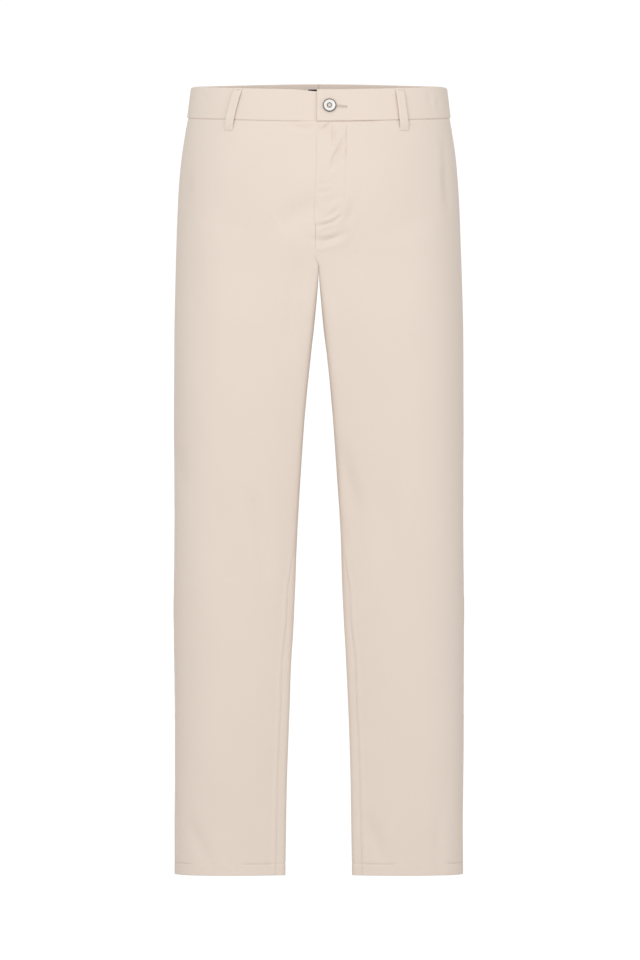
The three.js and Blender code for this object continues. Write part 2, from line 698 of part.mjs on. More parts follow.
// A slit with a round eye at the end by the centre front, through the left end only.
function buttonholeCutter() {
  const reach = 6;
  const { from, to, slit, eye } = BUTTONHOLE;
  const seat = bandSeat((from + to) / 2, BUTTON.z, BAND_OUT + BAND_LAP.rise);
  const bar = new THREE.BoxGeometry(to - from, slit, BAND + 0.6);
  const round = new THREE.CylinderGeometry(eye / 2, eye / 2, BAND + 0.6, 16);
  round.rotateX(Math.PI / 2).translate(BUTTON.x - (from + to) / 2, 0, 0);
  const lift = -BAND / 2;
  return [bar, round].map((g) => solid(g.translate(0, 0, lift).applyMatrix4(seat.matrix)));
}

// A sew-through button: a dished disc with a raised rim, on a thread shank that passes the
// buttonhole to the band's right end.
function button() {
  const { radius, wall: thick, rim, hole, holePitch } = BUTTON;
  const profile = [
    [0, 0],
    [radius * 0.72, 0],
    [radius * 0.95, 0.5],
    [radius, thick * 0.62],
    [radius * 0.97, thick * 0.9],
    [radius - rim * 0.5, thick],
    [radius - rim, thick * 0.86],
    [radius * 0.62, thick * 0.68],
    [radius * 0.42, thick * 0.74],
    [radius * 0.34, thick * 0.56],
    [0, thick * 0.5],
  ].map(([x, y]) => new THREE.Vector2(x, y));
  const disc = new THREE.LatheGeometry(profile, 36).rotateX(Math.PI / 2);
  let made = solid(disc);
  for (const [dx, dy] of [[1, 1], [1, -1], [-1, 1], [-1, -1]]) {
    const drill = new THREE.CylinderGeometry(hole, hole, 8, 12).rotateX(Math.PI / 2);
    made = made.subtract(solid(drill.translate(dx * holePitch, dy * holePitch, 0)));
  }
  const shankLength = bandOut(1, BUTTON.x) - bandOut(-1, -BUTTON.x) + BUTTON_GAP;
  const shank = new THREE.CylinderGeometry(1.3, 1.3, shankLength, 12).rotateX(Math.PI / 2);
  return geometryOf(made.add(solid(shank.translate(0, 0, 0.3 - shankLength / 2))));
}

// ---------------------------------------------------------------- materials and assembly
const LINEN = new THREE.MeshStandardMaterial({ color: 0xe8dccd, roughness: 0.92, metalness: 0 });
const LINING = new THREE.MeshStandardMaterial({ color: 0xe6dccf, roughness: 0.95, metalness: 0 });
const NAVY = new THREE.MeshStandardMaterial({ color: 0x15182a, roughness: 0.8, metalness: 0 });
const ZIP_GREY = new THREE.MeshStandardMaterial({ color: 0xcfc6ba, roughness: 0.6, metalness: 0.2 });
const PEARL = new THREE.MeshStandardMaterial({ color: 0xd9dad6, roughness: 0.25, metalness: 0.6 });

const trousers = new THREE.Group();
function add(name, geometry, material) {
  const mesh = new THREE.Mesh(geometry, material);
  mesh.name = name;
  trousers.add(mesh);
  return mesh;
}

for (const [side, hand] of [[1, "left"], [-1, "right"]]) {
  add(`front_${hand}`, frontPanel(side), LINEN);
  add(`back_${hand}`, backPanel(side), LINEN);
  add(`pocket_facing_${hand}`, pocketFacing(side), LINEN);
  add(`pocket_bag_${hand}`, pocketBag(side), LINING);
  add(`hem_${hand}`, hem(side), LINEN);
}
add("waistband_right", waistband(-1), LINEN);
const [slit, eye] = buttonholeCutter();
add("waistband_left", geometryOf(solid(waistband(1)).subtract(slit).subtract(eye)), LINEN);
add("fly_underlap", flyUnderlap(), LINEN);
add("fly_zip", flyZip(), ZIP_GREY);
for (const loop of LOOPS) add(loop.name, beltLoop(loop), LINEN);
add("label", label(), NAVY);

const buttonMesh = add("button", button(), PEARL);
const seat = bandSeat(BUTTON.x, BUTTON.z, BAND_OUT + BAND_LAP.rise + BUTTON_GAP);
buttonMesh.position.copy(seat.position);
buttonMesh.quaternion.copy(seat.quaternion);

export default trousers;
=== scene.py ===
# %% [markdown]
# # Linen trousers, filled out as on a body
# A pair of trousers is about twenty pieces of cloth sewn edge to edge. This lesson rebuilds each
# of them as a thin shell of its own, on one shared surface, so that neighbours always meet.
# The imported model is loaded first. It is the fixed frame: everything is placed in it.

# %% The frame, the modules and the size it starts from
import math

import bpy
import numpy as np
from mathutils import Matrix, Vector


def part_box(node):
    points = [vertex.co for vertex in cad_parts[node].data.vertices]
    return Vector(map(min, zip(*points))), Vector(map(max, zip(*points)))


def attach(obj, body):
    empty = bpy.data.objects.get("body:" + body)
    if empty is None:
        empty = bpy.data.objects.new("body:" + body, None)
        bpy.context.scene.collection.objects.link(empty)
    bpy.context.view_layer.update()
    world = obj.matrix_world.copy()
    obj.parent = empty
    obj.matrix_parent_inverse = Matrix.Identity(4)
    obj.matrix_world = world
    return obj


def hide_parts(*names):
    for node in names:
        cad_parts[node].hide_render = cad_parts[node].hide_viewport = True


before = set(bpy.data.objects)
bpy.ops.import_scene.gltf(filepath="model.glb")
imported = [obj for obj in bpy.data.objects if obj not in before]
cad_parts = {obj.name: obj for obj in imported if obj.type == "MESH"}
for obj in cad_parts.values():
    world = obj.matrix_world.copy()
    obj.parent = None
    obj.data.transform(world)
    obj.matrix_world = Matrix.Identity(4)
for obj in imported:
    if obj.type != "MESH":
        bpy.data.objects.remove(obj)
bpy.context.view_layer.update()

# %% [markdown]
# ## The camera
# The garment is seen from straight ahead and from far away, as in a catalogue, so a long lens
# is used. The camera comes first, because other checks want it, and it stays level with the
# middle of the garment so that its verticals don't lean.

# %% The camera
CAMERA_AT = (0.0016, -8.0, -0.501)
LENS_MM = 225.6


def add_object(name, data):
    obj = bpy.data.objects.new(name, data)
    bpy.context.collection.objects.link(obj)
    return obj


def make_camera():
    camera = add_object("studio_camera", bpy.data.cameras.new("studio_camera"))
    camera.data.lens = LENS_MM
    camera.location = CAMERA_AT
    camera.rotation_euler = (math.pi / 2, 0, 0)
    bpy.context.scene.camera = camera
    print("camera", round(-CAMERA_AT[1], 2), "m in front, lens", LENS_MM, "mm")


make_camera()

# %% [markdown]
# ## The surface that all the cloth lies on
# Cloth pieces could be modelled one by one, but then their edges would never quite meet. Here
# they are all patches of one surface, measured in millimetres as a maker would. On one side of
# the garment, t runs from 0 at the centre front (or the inseam, lower down) through 0.5 at the
# outermost side to 1 at the centre back. z is the height. The first table gives the outline at
# each height: half width, inner edge of the leg, how far front and back stand out, how square
# the section is, and how much its inner side is thinned. The second says where the side seam
# and the inseam run.

# %% The driving sizes, in millimetres
OUTLINE = {
    "z": (40, 0, -35, -70, -110, -150, -190, -222, -280, -340,
          -400, -480, -560, -640, -720, -800, -880, -960, -1040),
    "side": (167.4, 171.6, 176.5, 181, 184.6, 187.2, 189.3, 190.2, 191.6, 192,
             192, 192, 192, 192, 192, 192, 192, 192, 192),
    "inner": (0.4, 0.4, 0.4, 0.4, 0.4, 0.4, 0.4, 0.5, 4.7, 11.3,
              17.6, 23.4, 28.3, 32.2, 36.3, 39.8, 42.6, 44.2, 45.2),
    "front": (97, 101, 105.5, 109, 112, 112, 109, 105.5, 99.5, 94,
              89, 82.5, 76, 70, 64.5, 59, 54, 49.5, 45.5),
    "back": (95, 101, 107, 116, 126, 131, 128, 120, 106, 96,
             88.5, 80, 73, 69, 66, 63, 59.5, 55.5, 51),
    "power": (2.35, 2.35, 2.35, 2.35, 2.33, 2.3, 2.27, 2.25, 2.25, 2.25,
              2.25, 2.25, 2.25, 2.25, 2.22, 2.2, 2.2, 2.2, 2.2),
    "inner_power": (12, 12, 12, 12, 12, 12, 12, 14, 18, 20,
                    22, 22, 22, 22, 22, 22, 22, 22, 22),
    "hollow": (0, 0, 0, 0, 0, 0, 0, 0, 0, 0.07,
               0.15, 0.23, 0.28, 0.28, 0.28, 0.28, 0.28, 0.28, 0.28),
}
SEAMS = {
    "z": (40, -190, -222, -450, -600, -700, -800, -1040),
    "side": (17, 14, 12, 2, -4.5, -9, -13, -21),
    "inseam": (0, 0, 0, 0.73, 0.972, 0.9956, 0.9979, 0.999),  # how far forward, a share of the depth
}
HEM_Z = -1024.5
CROTCH_Z = -222
FRONT_CURVE_Z = -196
BACK_CURVE_Z = -90
WAIST_Z = -5  # where widths along the waistband are measured
LEVEL_Z = -120
BAND_TOP = (22, 9.8)  # height = level + tilt * sin(angle), lowest at the centre front
BAND_SEAM = (-19.8, 10.2)
THIGH_FROM_Z, THIGH_TO_Z = -70, -390  # over which the torso's section turns into the leg's
CORNER_FROM_Z, CORNER_TO_Z = -198, -300  # the same at the front edge of the inner thigh
FORK_FROM_Z, FORK_TO_Z = -150, -200
CORNER_T, AHEAD_T, BEHIND_T = (0.04, 0.11), (0.2, 0.36), (1, 0.83)  # where in t each turn fades
INNER_BACK_POWER = 7  # behind, the inner side of a leg rounds away softly
FLY_BOTTOM_Z = -172
FLY_PULL = -4.4

# %% Small maths on whole arrays at once
def smooth(low, high, value):
    share = np.clip((value - low) / (high - low), 0, 1)
    return share * share * (3 - 2 * share)


def mix(a, b, share):
    return a + (b - a) * share


def bell(distance, width):
    return np.exp(-((distance / width) ** 2))


def unit(vector):
    return vector / np.linalg.norm(vector)


def run_along(line):
    """The distance along a flat line at each of its points."""
    return np.concatenate([[0], np.cumsum(np.hypot(*np.diff(line, axis=0).T))])


def at_lengths(line, run, wanted):
    """Points of a line at the wanted distances along it."""
    return np.stack([np.interp(wanted, run, values) for values in line.T], -1)


def column(table, name, z):
    """A smooth curve through one column of a table whose rows run down in z."""
    heights = np.array(table["z"], float)
    values = np.array(table[name], float)
    last = len(heights) - 1
    z = np.clip(np.asarray(z, float), heights[-1], heights[0])
    i = np.clip(np.searchsorted(-heights, -z, side="left") - 1, 0, last - 1)
    below, above = np.minimum(np.arange(last + 1) + 1, last), np.maximum(np.arange(last + 1) - 1, 0)
    slope = (values[below] - values[above]) / (heights[below] - heights[above])
    step = heights[i + 1] - heights[i]
    s = (z - heights[i]) / step
    return (
        (2 * s**3 - 3 * s**2 + 1) * values[i]
        + (s**3 - 2 * s**2 + s) * step * slope[i]
        + (3 * s**2 - 2 * s**3) * values[i + 1]
        + (s**3 - s**2) * step * slope[i + 1]
    )


# %% [markdown]
# At each height the section is a rounded oval round the whole torso or round one leg. Between
# the hips and the thigh one turns into the other. Close to the centre seam that turn follows a
# quarter circle, which is what curves the seam under the body. In front the cloth of the inner
# thigh, which a tailor calls the fork, gathers at the centre line just above the crotch, so that
# the front stays flat up to the edge of each leg. The sections are worked out once,
# on a fine table of heights, and read back with straight interpolation, which is quick.

# %% Sections at every height
ARC_STEPS = 384


def oval_arc(centre, half_width, depth, powers, hollow, start, end):
    """Part of a rounded oval, and the length along it at each of its points."""
    angle = np.radians(np.linspace(start, end, 4 * ARC_STEPS + 1))
    c, s = np.cos(angle), np.sin(angle)
    power = np.where(c > 0, powers[0], np.where(s < 0, powers[1], powers[2]))
    reach = (np.abs(c) ** power + np.abs(s) ** power) ** (-1 / power)
    across, out = reach * np.abs(c), reach * np.abs(s)
    out = out * np.where(c < 0, 1 - hollow * across**2, 1)
    x = centre[0] + half_width * np.sign(c) * across
    y = centre[1] + depth * np.sign(s) * out
    arc = np.stack([x, y], -1)
    return arc, run_along(arc)


def curved_under(start_z, z):
    """0 where the centre seam starts to curve under the body, 1 at the crotch."""
    down = np.clip((start_z - z) / (start_z - CROTCH_Z), 0, 1)
    return 1 - np.sqrt(1 - down * down)


def leg_share(t, z):
    """How far a point has turned from the torso's section (0) to the leg's (1)."""
    away = smooth(THIGH_FROM_Z, THIGH_TO_Z, z)
    corner = smooth(CORNER_FROM_Z, CORNER_TO_Z, z)
    edge = mix(curved_under(FRONT_CURVE_Z, z), corner, smooth(*CORNER_T, t))
    ahead = mix(edge, away, smooth(*AHEAD_T, t))
    behind = mix(curved_under(BACK_CURVE_Z, z), away, smooth(*BEHIND_T, t))
    return np.where(t < 0.5, ahead, behind)


def make_section(z):
    side, inner, front, back, power, inner_power, hollow = (
        float(column(OUTLINE, name, z)) for name in OUTLINE if name != "z"
    )
    middle, depth = (back - front) / 2, (back + front) / 2
    forward = max(float(column(SEAMS, "inseam", z)), 0)
    turn = math.degrees(math.atan2(forward, (1 - forward**inner_power) ** (1 / inner_power)))
    width, centre = (side - inner) / 2, (side + inner) / 2
    even = np.linspace(0, 1, ARC_STEPS + 1)
    halves = []
    for face, torso_ends, leg_ends in ((0, (-90, 0), (-180 + turn, 0)), (1, (0, 90), (0, 180 + turn))):
        torso, torso_run = oval_arc((0, middle), side, depth, (power,) * 3, 0, *torso_ends)
        powers = (power, inner_power, INNER_BACK_POWER)
        leg, leg_run = oval_arc((centre, middle), width, depth, powers, hollow, *leg_ends)
        leg = at_lengths(leg, leg_run, even * leg_run[-1])
        wanted = even * torso_run[-1]
        if face == 0:
            x = leg[:, 0] - inner * (1 - smooth(FRONT_CURVE_Z, CORNER_TO_Z, z))
            ahead_of_leg = np.interp(x, torso[:, 0], torso_run)
            wanted = mix(wanted, ahead_of_leg, smooth(FORK_FROM_Z, FORK_TO_Z, z))
        torso = at_lengths(torso, torso_run, wanted)
        halves.append(mix(torso, leg, leg_share((face + even) / 2, z)[:, None]))
    return halves


quarter = np.linspace(0, math.pi / 2, 70)
HEIGHTS = np.unique(np.concatenate([
    np.arange(-1062, 46, 2.0),
    CROTCH_Z + (FRONT_CURVE_Z - CROTCH_Z) * (1 - np.sin(quarter)),
    CROTCH_Z + (BACK_CURVE_Z - CROTCH_Z) * (1 - np.sin(quarter)),
]))
halves = [make_section(z) for z in HEIGHTS]
SECTIONS = np.array([np.vstack([front, back[1:]]) for front, back in halves])
LENGTHS = np.array([[np.hypot(*np.diff(h, axis=0).T).sum() for h in pair] for pair in halves])
print("half girth at the waist", round(float(LENGTHS[HEIGHTS.searchsorted(0)].sum())), "mm")


# %% [markdown]
# From the table come three tools that every piece uses: a distance along the cloth as a step
# in t, the plain surface with its normal, and the finished surface with its folds. Moving a
# point along the normal is how one layer of cloth lies on, or under, another.

# %% Points of the plain surface
def front_length(z):
    return np.interp(z, HEIGHTS, LENGTHS[:, 0])


def back_length(z):
    return np.interp(z, HEIGHTS, LENGTHS[:, 1])


def front_step(z, distance):
    return 0.5 * distance / front_length(z)


def back_step(z, distance):
    return 0.5 * distance / back_length(z)


def side_seam_t(z):
    s = column(SEAMS, "side", z)
    return 0.5 + np.where(s > 0, back_step(z, s), front_step(z, s))


def plain_point(t, z):
    t, z = np.broadcast_arrays(np.asarray(t, float), np.asarray(z, float))
    mirror = np.where((t < 0) | (t > 1), -1.0, 1.0)
    t = np.where(t < 0, -t, np.where(t > 1, 2 - t, t))
    row = np.clip(np.interp(z, HEIGHTS, np.arange(len(HEIGHTS))), 0, len(HEIGHTS) - 1.0001)
    along = np.clip(t * 2 * ARC_STEPS, 0, 2 * ARC_STEPS - 0.0001)
    r, k = row.astype(int), along.astype(int)
    down, aside = (row - r)[..., None], (along - k)[..., None]
    high = mix(SECTIONS[r, k], SECTIONS[r, k + 1], aside)
    low = mix(SECTIONS[r + 1, k], SECTIONS[r + 1, k + 1], aside)
    xy = mix(high, low, down)
    return np.stack([xy[..., 0] * mirror, xy[..., 1], z], -1)


def plain_normal(t, z):
    """Taken from one side only at the centre seam, and above the crotch, where the surface folds."""
    step_t, step_z = 0.004, 1.5
    start = np.where((t >= 0) & (t < step_t), t, t - step_t)
    end = np.where((t <= 1) & (t > 1 - step_t), t, t + step_t)
    bottom = np.where(z > CROTCH_Z, np.maximum(z - step_z, CROTCH_Z), z - step_z)
    across = plain_point(end, z) - plain_point(start, z)
    down = plain_point(t, bottom) - plain_point(t, z + step_z)
    normal = np.cross(down, across)
    return normal / np.linalg.norm(normal, axis=-1, keepdims=True)


# %% [markdown]
# ## Folds and creases
# Worn linen holds a few long soft folds, and shorter creases where it is pulled: at the end of
# the fly, behind the knees, above the hems. They could be simulated, but a garment's own creases
# are never where a simulation puts them, so they are listed: each is a line on the front
# or back of the garment, with a width, and a depth that is largest in the middle. A trough with
# two low shoulders looks like cloth, where a bare trough looks like a scratch.

# %% The tables of folds
# The main folds, which the solid pieces have too: face, from (x, z), to (x, z), width, depth.
MAIN_FOLDS = [
    ("front", (2, -136), (-52, -168), 16, 4),
    ("front", (-30, -208), (-38, -330), 12, 2.8),
    ("front", (-88, -520), (-66, -630), 11, 3.0),
    ("front", (-184, -458), (-182, -512), 8, 1.8),
    ("front", (-172, -952), (-146, -1008), 10, 1.5),
    ("front", (-174, -91), (-177, -137), 8, 1.2),
    ("front", (50, -142), (46, -232), 12, 2.4),
    ("front", (28, -456), (50, -548), 11, 2.4),
    ("front", (95, -510), (86, -612), 15, 2),
    ("front", (62, -944), (86, -1008), 11, 1.9),
    ("front", (158, -925), (160, -1060), 9, 1.6),
    ("front", (168, -90), (173, -143), 8, 1.8),
    ("back", (14, -196), (96, -256), 13, 2.8),
    ("back", (-16, -202), (-88, -270), 14, 2.6),
    ("back", (58, -332), (118, -368), 13, 2),
    ("back", (56, -560), (158, -542), 12, 2.2),
    ("back", (-68, -574), (-150, -592), 13, 2.4),
    ("back", (-60, -616), (-128, -606), 11, 1.7),
    ("back", (96, -790), (120, -964), 14, 2),
    ("back", (-102, -820), (-128, -948), 13, 1.8),
]
# Finer creases in the front, each along a bent line: route of (x, z), width, depth.
CREASES = [
    ([(0, -168), (12, -166), (23, -162), (31, -155)], 2.2, 2.3),
    ([(14, -156.5), (30, -144)], 2.4, 1.4),
    ([(-2, -186), (12, -187.5), (23, -184.5), (35, -177.5)], 4.0, 2.6),
    ([(2, -193), (11, -194)], 2.5, 0.9),
    ([(16, -31), (1.5, -44)], 2.0, 2.8),
    ([(0, -30), (0.5, -50)], 1.6, 1.2),
    ([(35, -50), (30, -62), (21, -80), (18.5, -94)], 2.5, 2.8),
    ([(19.6, -32), (19.4, -64)], 2.0, 2.2),
    ([(-2, -112), (8, -113), (17, -110)], 2.6, 0.5),
    ([(-1, -123), (9, -124), (18, -121)], 2.6, 0.6),
    ([(12, -137), (22, -134), (30, -128)], 3.6, 0.6),
    ([(49, -130), (45, -150), (38, -162)], 5.0, 1.3),
    ([(-3, -38), (-22, -40), (-40, -37)], 4.0, 2.0),
    ([(164, -47), (168, -100), (171, -145)], 4.0, 1.2),
    ([(-155, 9), (-147, 4)], 2.6, 0.9),
    ([(143, 9), (148, -4)], 3.0, 0.9),
    ([(155, 1), (159, -11)], 2.6, 0.8),
]


# %% How deep the folds are at a point
def near_route(x, z, route):
    """Distance to a bent line, and the share of the way along it."""
    route = np.array(route, float)
    lengths = np.hypot(*np.diff(route, axis=0).T)
    best = np.full(x.shape, 1e9)
    along = np.zeros(x.shape)
    run = 0.0
    for (ax, az), (bx, bz), length in zip(route[:-1], route[1:], lengths):
        dx, dz = bx - ax, bz - az
        share = np.clip(((x - ax) * dx + (z - az) * dz) / length**2, 0, 1)
        distance = np.hypot(x - ax - share * dx, z - az - share * dz)
        closer = distance < best
        best = np.where(closer, distance, best)
        along = np.where(closer, (run + share * length) / lengths.sum(), along)
        run += length
    return best, along


SHOULDER = 0.3


def fold_depth(points, normals):
    x, z = points[..., 0], points[..., 2]
    facing = {"front": smooth(0, 0.35, -normals[..., 1]), "back": smooth(0, 0.35, normals[..., 1])}
    depth = np.zeros(x.shape)
    for face, start, end, width, deep in MAIN_FOLDS:
        distance, along = near_route(x, z, [start, end])
        taper = np.sin(math.pi * (0.03 + 0.94 * along)) ** 0.6
        depth += deep * taper * bell(distance, width) * facing[face]
    for route, width, deep in CREASES:
        distance, along = near_route(x, z, route)
        profile = bell(distance, width) - SHOULDER * bell(distance - 2.2 * width, width)
        taper = 0.25 + 0.75 * np.sin(math.pi * along)
        depth += deep * profile * taper * facing["front"]
    return depth


# %% [markdown]
# No ironed cloth is truly smooth either. A value noise on a small lattice of seeded random
# numbers gives the slow swell of linen between its folds, and the same tool, along a seam,
# gives the little puckers that the thread pulls in. The seed makes each run the same.

# %% Soft unevenness
LATTICE = np.random.default_rng(11).uniform(-1, 1, (32, 32, 32))


def swell(points, cell):
    """Smooth noise from -1 to 1 that changes over about the size of a cell."""
    q = np.asarray(points, float) / cell + 900.0
    i = np.floor(q).astype(int)
    f = q - i
    f = f * f * (3 - 2 * f)
    total = 0.0
    for dx in (0, 1):
        for dy in (0, 1):
            for dz in (0, 1):
                corner = LATTICE[(i[..., 0] + dx) % 32, (i[..., 1] + dy) % 32, (i[..., 2] + dz) % 32]
                weights = np.abs(1 - np.array([dx, dy, dz]) - f)
                total = total + weights[..., 0] * weights[..., 1] * weights[..., 2] * corner
    return total


def drape(points):
    stretched = points * np.array([1.0, 1.0, 0.45])
    return 0.7 * swell(stretched, 62) + 0.22 * swell(stretched + 200, 23)


def centre_pull(points):
    """The centre front is drawn a little to one side, most at the end of the fly."""
    z = points[..., 2]
    down = smooth(-30, -190, z) * smooth(CROTCH_Z, CROTCH_Z + 14, z)
    return np.where(points[..., 1] > 0, 0, FLY_PULL * down * bell(points[..., 0], 45))


def body_point(side, t, z, out):
    """A point of the garment, side 1 for the wearer's left and -1 for the right."""
    t, z, out = np.broadcast_arrays(t, z, out)
    flip = np.array([side, 1.0, 1.0])
    points = plain_point(t, z) * flip
    normals = plain_normal(t, z) * flip
    away = out - fold_depth(points, normals) + drape(points)
    points = points + normals * away[..., None]
    points[..., 0] += centre_pull(points)
    return points


def edge_height(edge, t):
    level, tilt = edge
    return level + tilt * np.sin((np.clip(np.abs(t), 0, 1) - 0.5) * math.pi)


# %% [markdown]
# ## Making a piece of cloth
# A cut piece is a closed thin shell: an outer grid of points, an inner one, and a rim that joins
# them. Blender's Solidify modifier could add the inner side, but two grids let each edge be
# turned in softly, as a sewn or folded edge is. Each point also keeps its place on the flat
# cloth, in millimetres, in an attribute named cloth, so that the weave can follow the cut.

# %% From two grids to a mesh
def shell_faces(rows, columns, wrap, mirrored):
    layer = rows * columns
    index = np.arange(layer).reshape(rows, columns)
    if wrap:
        index = np.hstack([index, index[:, :1]])

    def quads(a, b, c, d):
        return np.stack([a, b, c, d], -1).reshape(-1, 4)

    outer = quads(index[:-1, :-1], index[1:, :-1], index[1:, 1:], index[:-1, 1:])
    inner = quads(index[:-1, :-1], index[:-1, 1:], index[1:, 1:], index[1:, :-1]) + layer
    borders = [(index[0, :-1], index[0, 1:]), (index[-1, 1:], index[-1, :-1])]
    if not wrap:
        borders += [(index[1:, 0], index[:-1, 0]), (index[:-1, -1], index[1:, -1])]
    rims = [quads(a, b, b + layer, a + layer) for a, b in borders]
    faces = np.vstack([outer, inner, *rims])
    return faces[:, ::-1] if mirrored else faces


SHARP_ANGLE = math.radians(50)


def mesh_object(name, points, faces, cloth, material):
    """Points in millimetres become a smooth-shaded mesh in metres."""
    mesh = bpy.data.meshes.new(name)
    faces = faces.tolist() if isinstance(faces, np.ndarray) else faces
    mesh.from_pydata((points / 1000).tolist(), [], faces)
    mesh.polygons.foreach_set("use_smooth", np.ones(len(faces), bool))
    mesh.set_sharp_from_angle(angle=SHARP_ANGLE)
    weave = mesh.attributes.new("cloth", "FLOAT_VECTOR", "POINT")
    flat = np.zeros((len(points), 3))
    flat[:, :2] = cloth
    weave.data.foreach_set("vector", flat.ravel())
    mesh.materials.append(material)
    return add_object(name, mesh)


def run_of(points, from_end):
    """Distances along each row of a grid of points, from its first or its last column."""
    steps = np.linalg.norm(np.diff(points, axis=1), axis=-1)
    run = np.concatenate([np.zeros((len(points), 1)), np.cumsum(steps, axis=1)], axis=1)
    return run - run[:, -1:] if from_end else run


def cloth_piece(name, side, t, z, out, wall, material, from_end=False, wrap=False):
    """A piece of cloth on the body. t, z and out are grids; wall is how thick it is inwards."""
    outer = body_point(side, t, z, out)
    inner = body_point(side, t, z, out - wall)
    rows, columns = outer.shape[:2]
    faces = shell_faces(rows, columns, wrap, side < 0)
    flat = np.stack([run_of(outer, from_end) * side, z + 0 * t], -1).reshape(-1, 2)
    points = np.vstack([outer.reshape(-1, 3), inner.reshape(-1, 3)])
    return mesh_object(name, points, faces, np.vstack([flat, flat + 0.5]), material)


# %% Rows and columns that crowd towards an edge
EDGE = np.array([0, 0.25, 0.7, 1.4, 2.6, 4.5])


def stations(width, spacing):
    """Distances from 0 to width, a row of them for each width, close together at both ends."""
    width = np.atleast_1d(np.asarray(width, float))
    between = max(2, int(round((width.max() - 2 * EDGE[-1]) / spacing)))
    share = np.linspace(0, 1, between + 1)[1:-1]
    middle = mix(EDGE[-1], width[:, None] - EDGE[-1], share)
    start = np.broadcast_to(EDGE, (len(width), len(EDGE)))
    return np.hstack([start, middle, width[:, None] - start[:, ::-1]])


def turned_in(distance, depth, reach):
    """How far an edge has turned in at a distance from it, along a quarter round."""
    left = np.clip(1 - distance / reach, 0, 1)
    return -depth * (1 - np.sqrt(1 - left * left))


# %% [markdown]
# ## Materials from sums
# A procedural material is arithmetic on sockets, and wiring Math nodes by hand hides the sum.
# So one small class wraps a socket: an ordinary Python expression on it adds the nodes. Colours
# go through Mix and Vector Math, because a Math node would turn them grey. Every other node comes from
# one method, which sets the node's settings first, and then its sockets.

# %% A socket that can be added and multiplied
class Signal:
    """One output that varies over the surface."""

    def __init__(self, finish, socket):
        self.finish = finish
        self.socket = socket

    def _sum(self, operation, first, second=0.0):
        return self.finish.node("ShaderNodeMath", {"operation": operation}, {0: first, 1: second})

    def __add__(self, other):
        return self._sum("ADD", self, other)

    def __sub__(self, other):
        return self._sum("SUBTRACT", self, other)

    def __mul__(self, other):
        return self._sum("MULTIPLY", self, other)

    def __radd__(self, other):
        return self._sum("ADD", other, self)

    def __rsub__(self, other):
        return self._sum("SUBTRACT", other, self)

    def __abs__(self):
        return self._sum("ABSOLUTE", self)

    def sine(self):
        return self._sum("SINE", self)

    def above(self, limit):
        return self._sum("GREATER_THAN", self, limit)


class Finish:
    """A material in the making."""

    def __init__(self, name):
        self.material = bpy.data.materials.new(name)
        self.material.use_nodes = True
        self.tree = self.material.node_tree
        self.shader = self.tree.nodes["Principled BSDF"]

    def node(self, kind, settings=None, sockets=None, output=0):
        made = self.tree.nodes.new(kind)
        for name, value in (settings or {}).items():
            setattr(made, name, value)
        self.plug(made, sockets or {})
        return Signal(self, made.outputs[output])

    def plug(self, node, sockets):
        for name, value in sockets.items():
            if isinstance(value, Signal):
                self.tree.links.new(value.socket, node.inputs[name])
            else:
                node.inputs[name].default_value = value

    def blend(self, a, b, share):
        """Colour a where share is 0, colour b where it is 1."""
        return self.node("ShaderNodeMix", {"data_type": "RGBA"}, {0: share, 6: a, 7: b}, output=2)

    def noise(self, vector, scale, detail=2.0):
        return self.node("ShaderNodeTexNoise", {}, {"Vector": vector, "Scale": scale, "Detail": detail})

    def scaled(self, vector, x, y):
        return self.node("ShaderNodeVectorMath", {"operation": "MULTIPLY"}, {0: vector, 1: (x, y, 1)})

    def place(self):
        return self.node("ShaderNodeTexCoord", output="Object")

    def attribute(self, name):
        return self.node("ShaderNodeAttribute", {"attribute_name": name}, output="Vector")

    def split(self, vector):
        made = self.tree.nodes.new("ShaderNodeSeparateXYZ")
        self.tree.links.new(vector.socket, made.inputs[0])
        return [Signal(self, made.outputs[i]) for i in range(3)]

    def bump(self, height, distance, strength=1.0):
        sockets = {"Height": height, "Distance": distance, "Strength": strength}
        return self.node("ShaderNodeBump", {}, sockets)

    def done(self, **sockets):
        self.plug(self.shader, {name.replace("_", " "): value for name, value in sockets.items()})
        print("finish", self.material.name, "has", len(self.tree.nodes), "nodes")
        return self.material


# %% [markdown]
# ## Linen
# Linen is a plain weave of flax yarns that are never quite even: here and there a yarn swells
# into a slub, which catches the light as a short streak along the warp or the weft. An image
# would do for the weave, but a formula has no edges and no size. Two sine waves, one for each
# direction, give the yarns, and the sign of their product says which lies on top. The slubs
# are two noises, each stretched along one direction of the cloth.

# %% The linen's weave and colour
YARN = 0.62  # from one yarn to the next, in millimetres
LINEN_LIGHT = (0.80, 0.706, 0.628, 1)
LINEN_DEEP = (0.75, 0.65, 0.57, 1)


def weave(finish, cloth):
    """Height of a plain weave, 0 between the yarns and 1 on top of one."""
    u, v, _ = finish.split(cloth)
    warp = (u * (math.pi / YARN)).sine()
    weft = (v * (math.pi / YARN)).sine()
    warp_on_top = (warp * weft).above(0.0)
    over = abs(warp) * (abs(weft) * 0.4 + 0.6)
    under = abs(weft) * (abs(warp) * 0.4 + 0.6)
    return over * warp_on_top + under * (1 - warp_on_top)


def slubs(finish, cloth):
    along_weft = finish.noise(finish.scaled(cloth, 1 / 16, 1 / YARN), 1.0)
    along_warp = finish.noise(finish.scaled(cloth, 1 / YARN, 1 / 22), 1.0)
    return (along_weft + along_warp) * 0.5


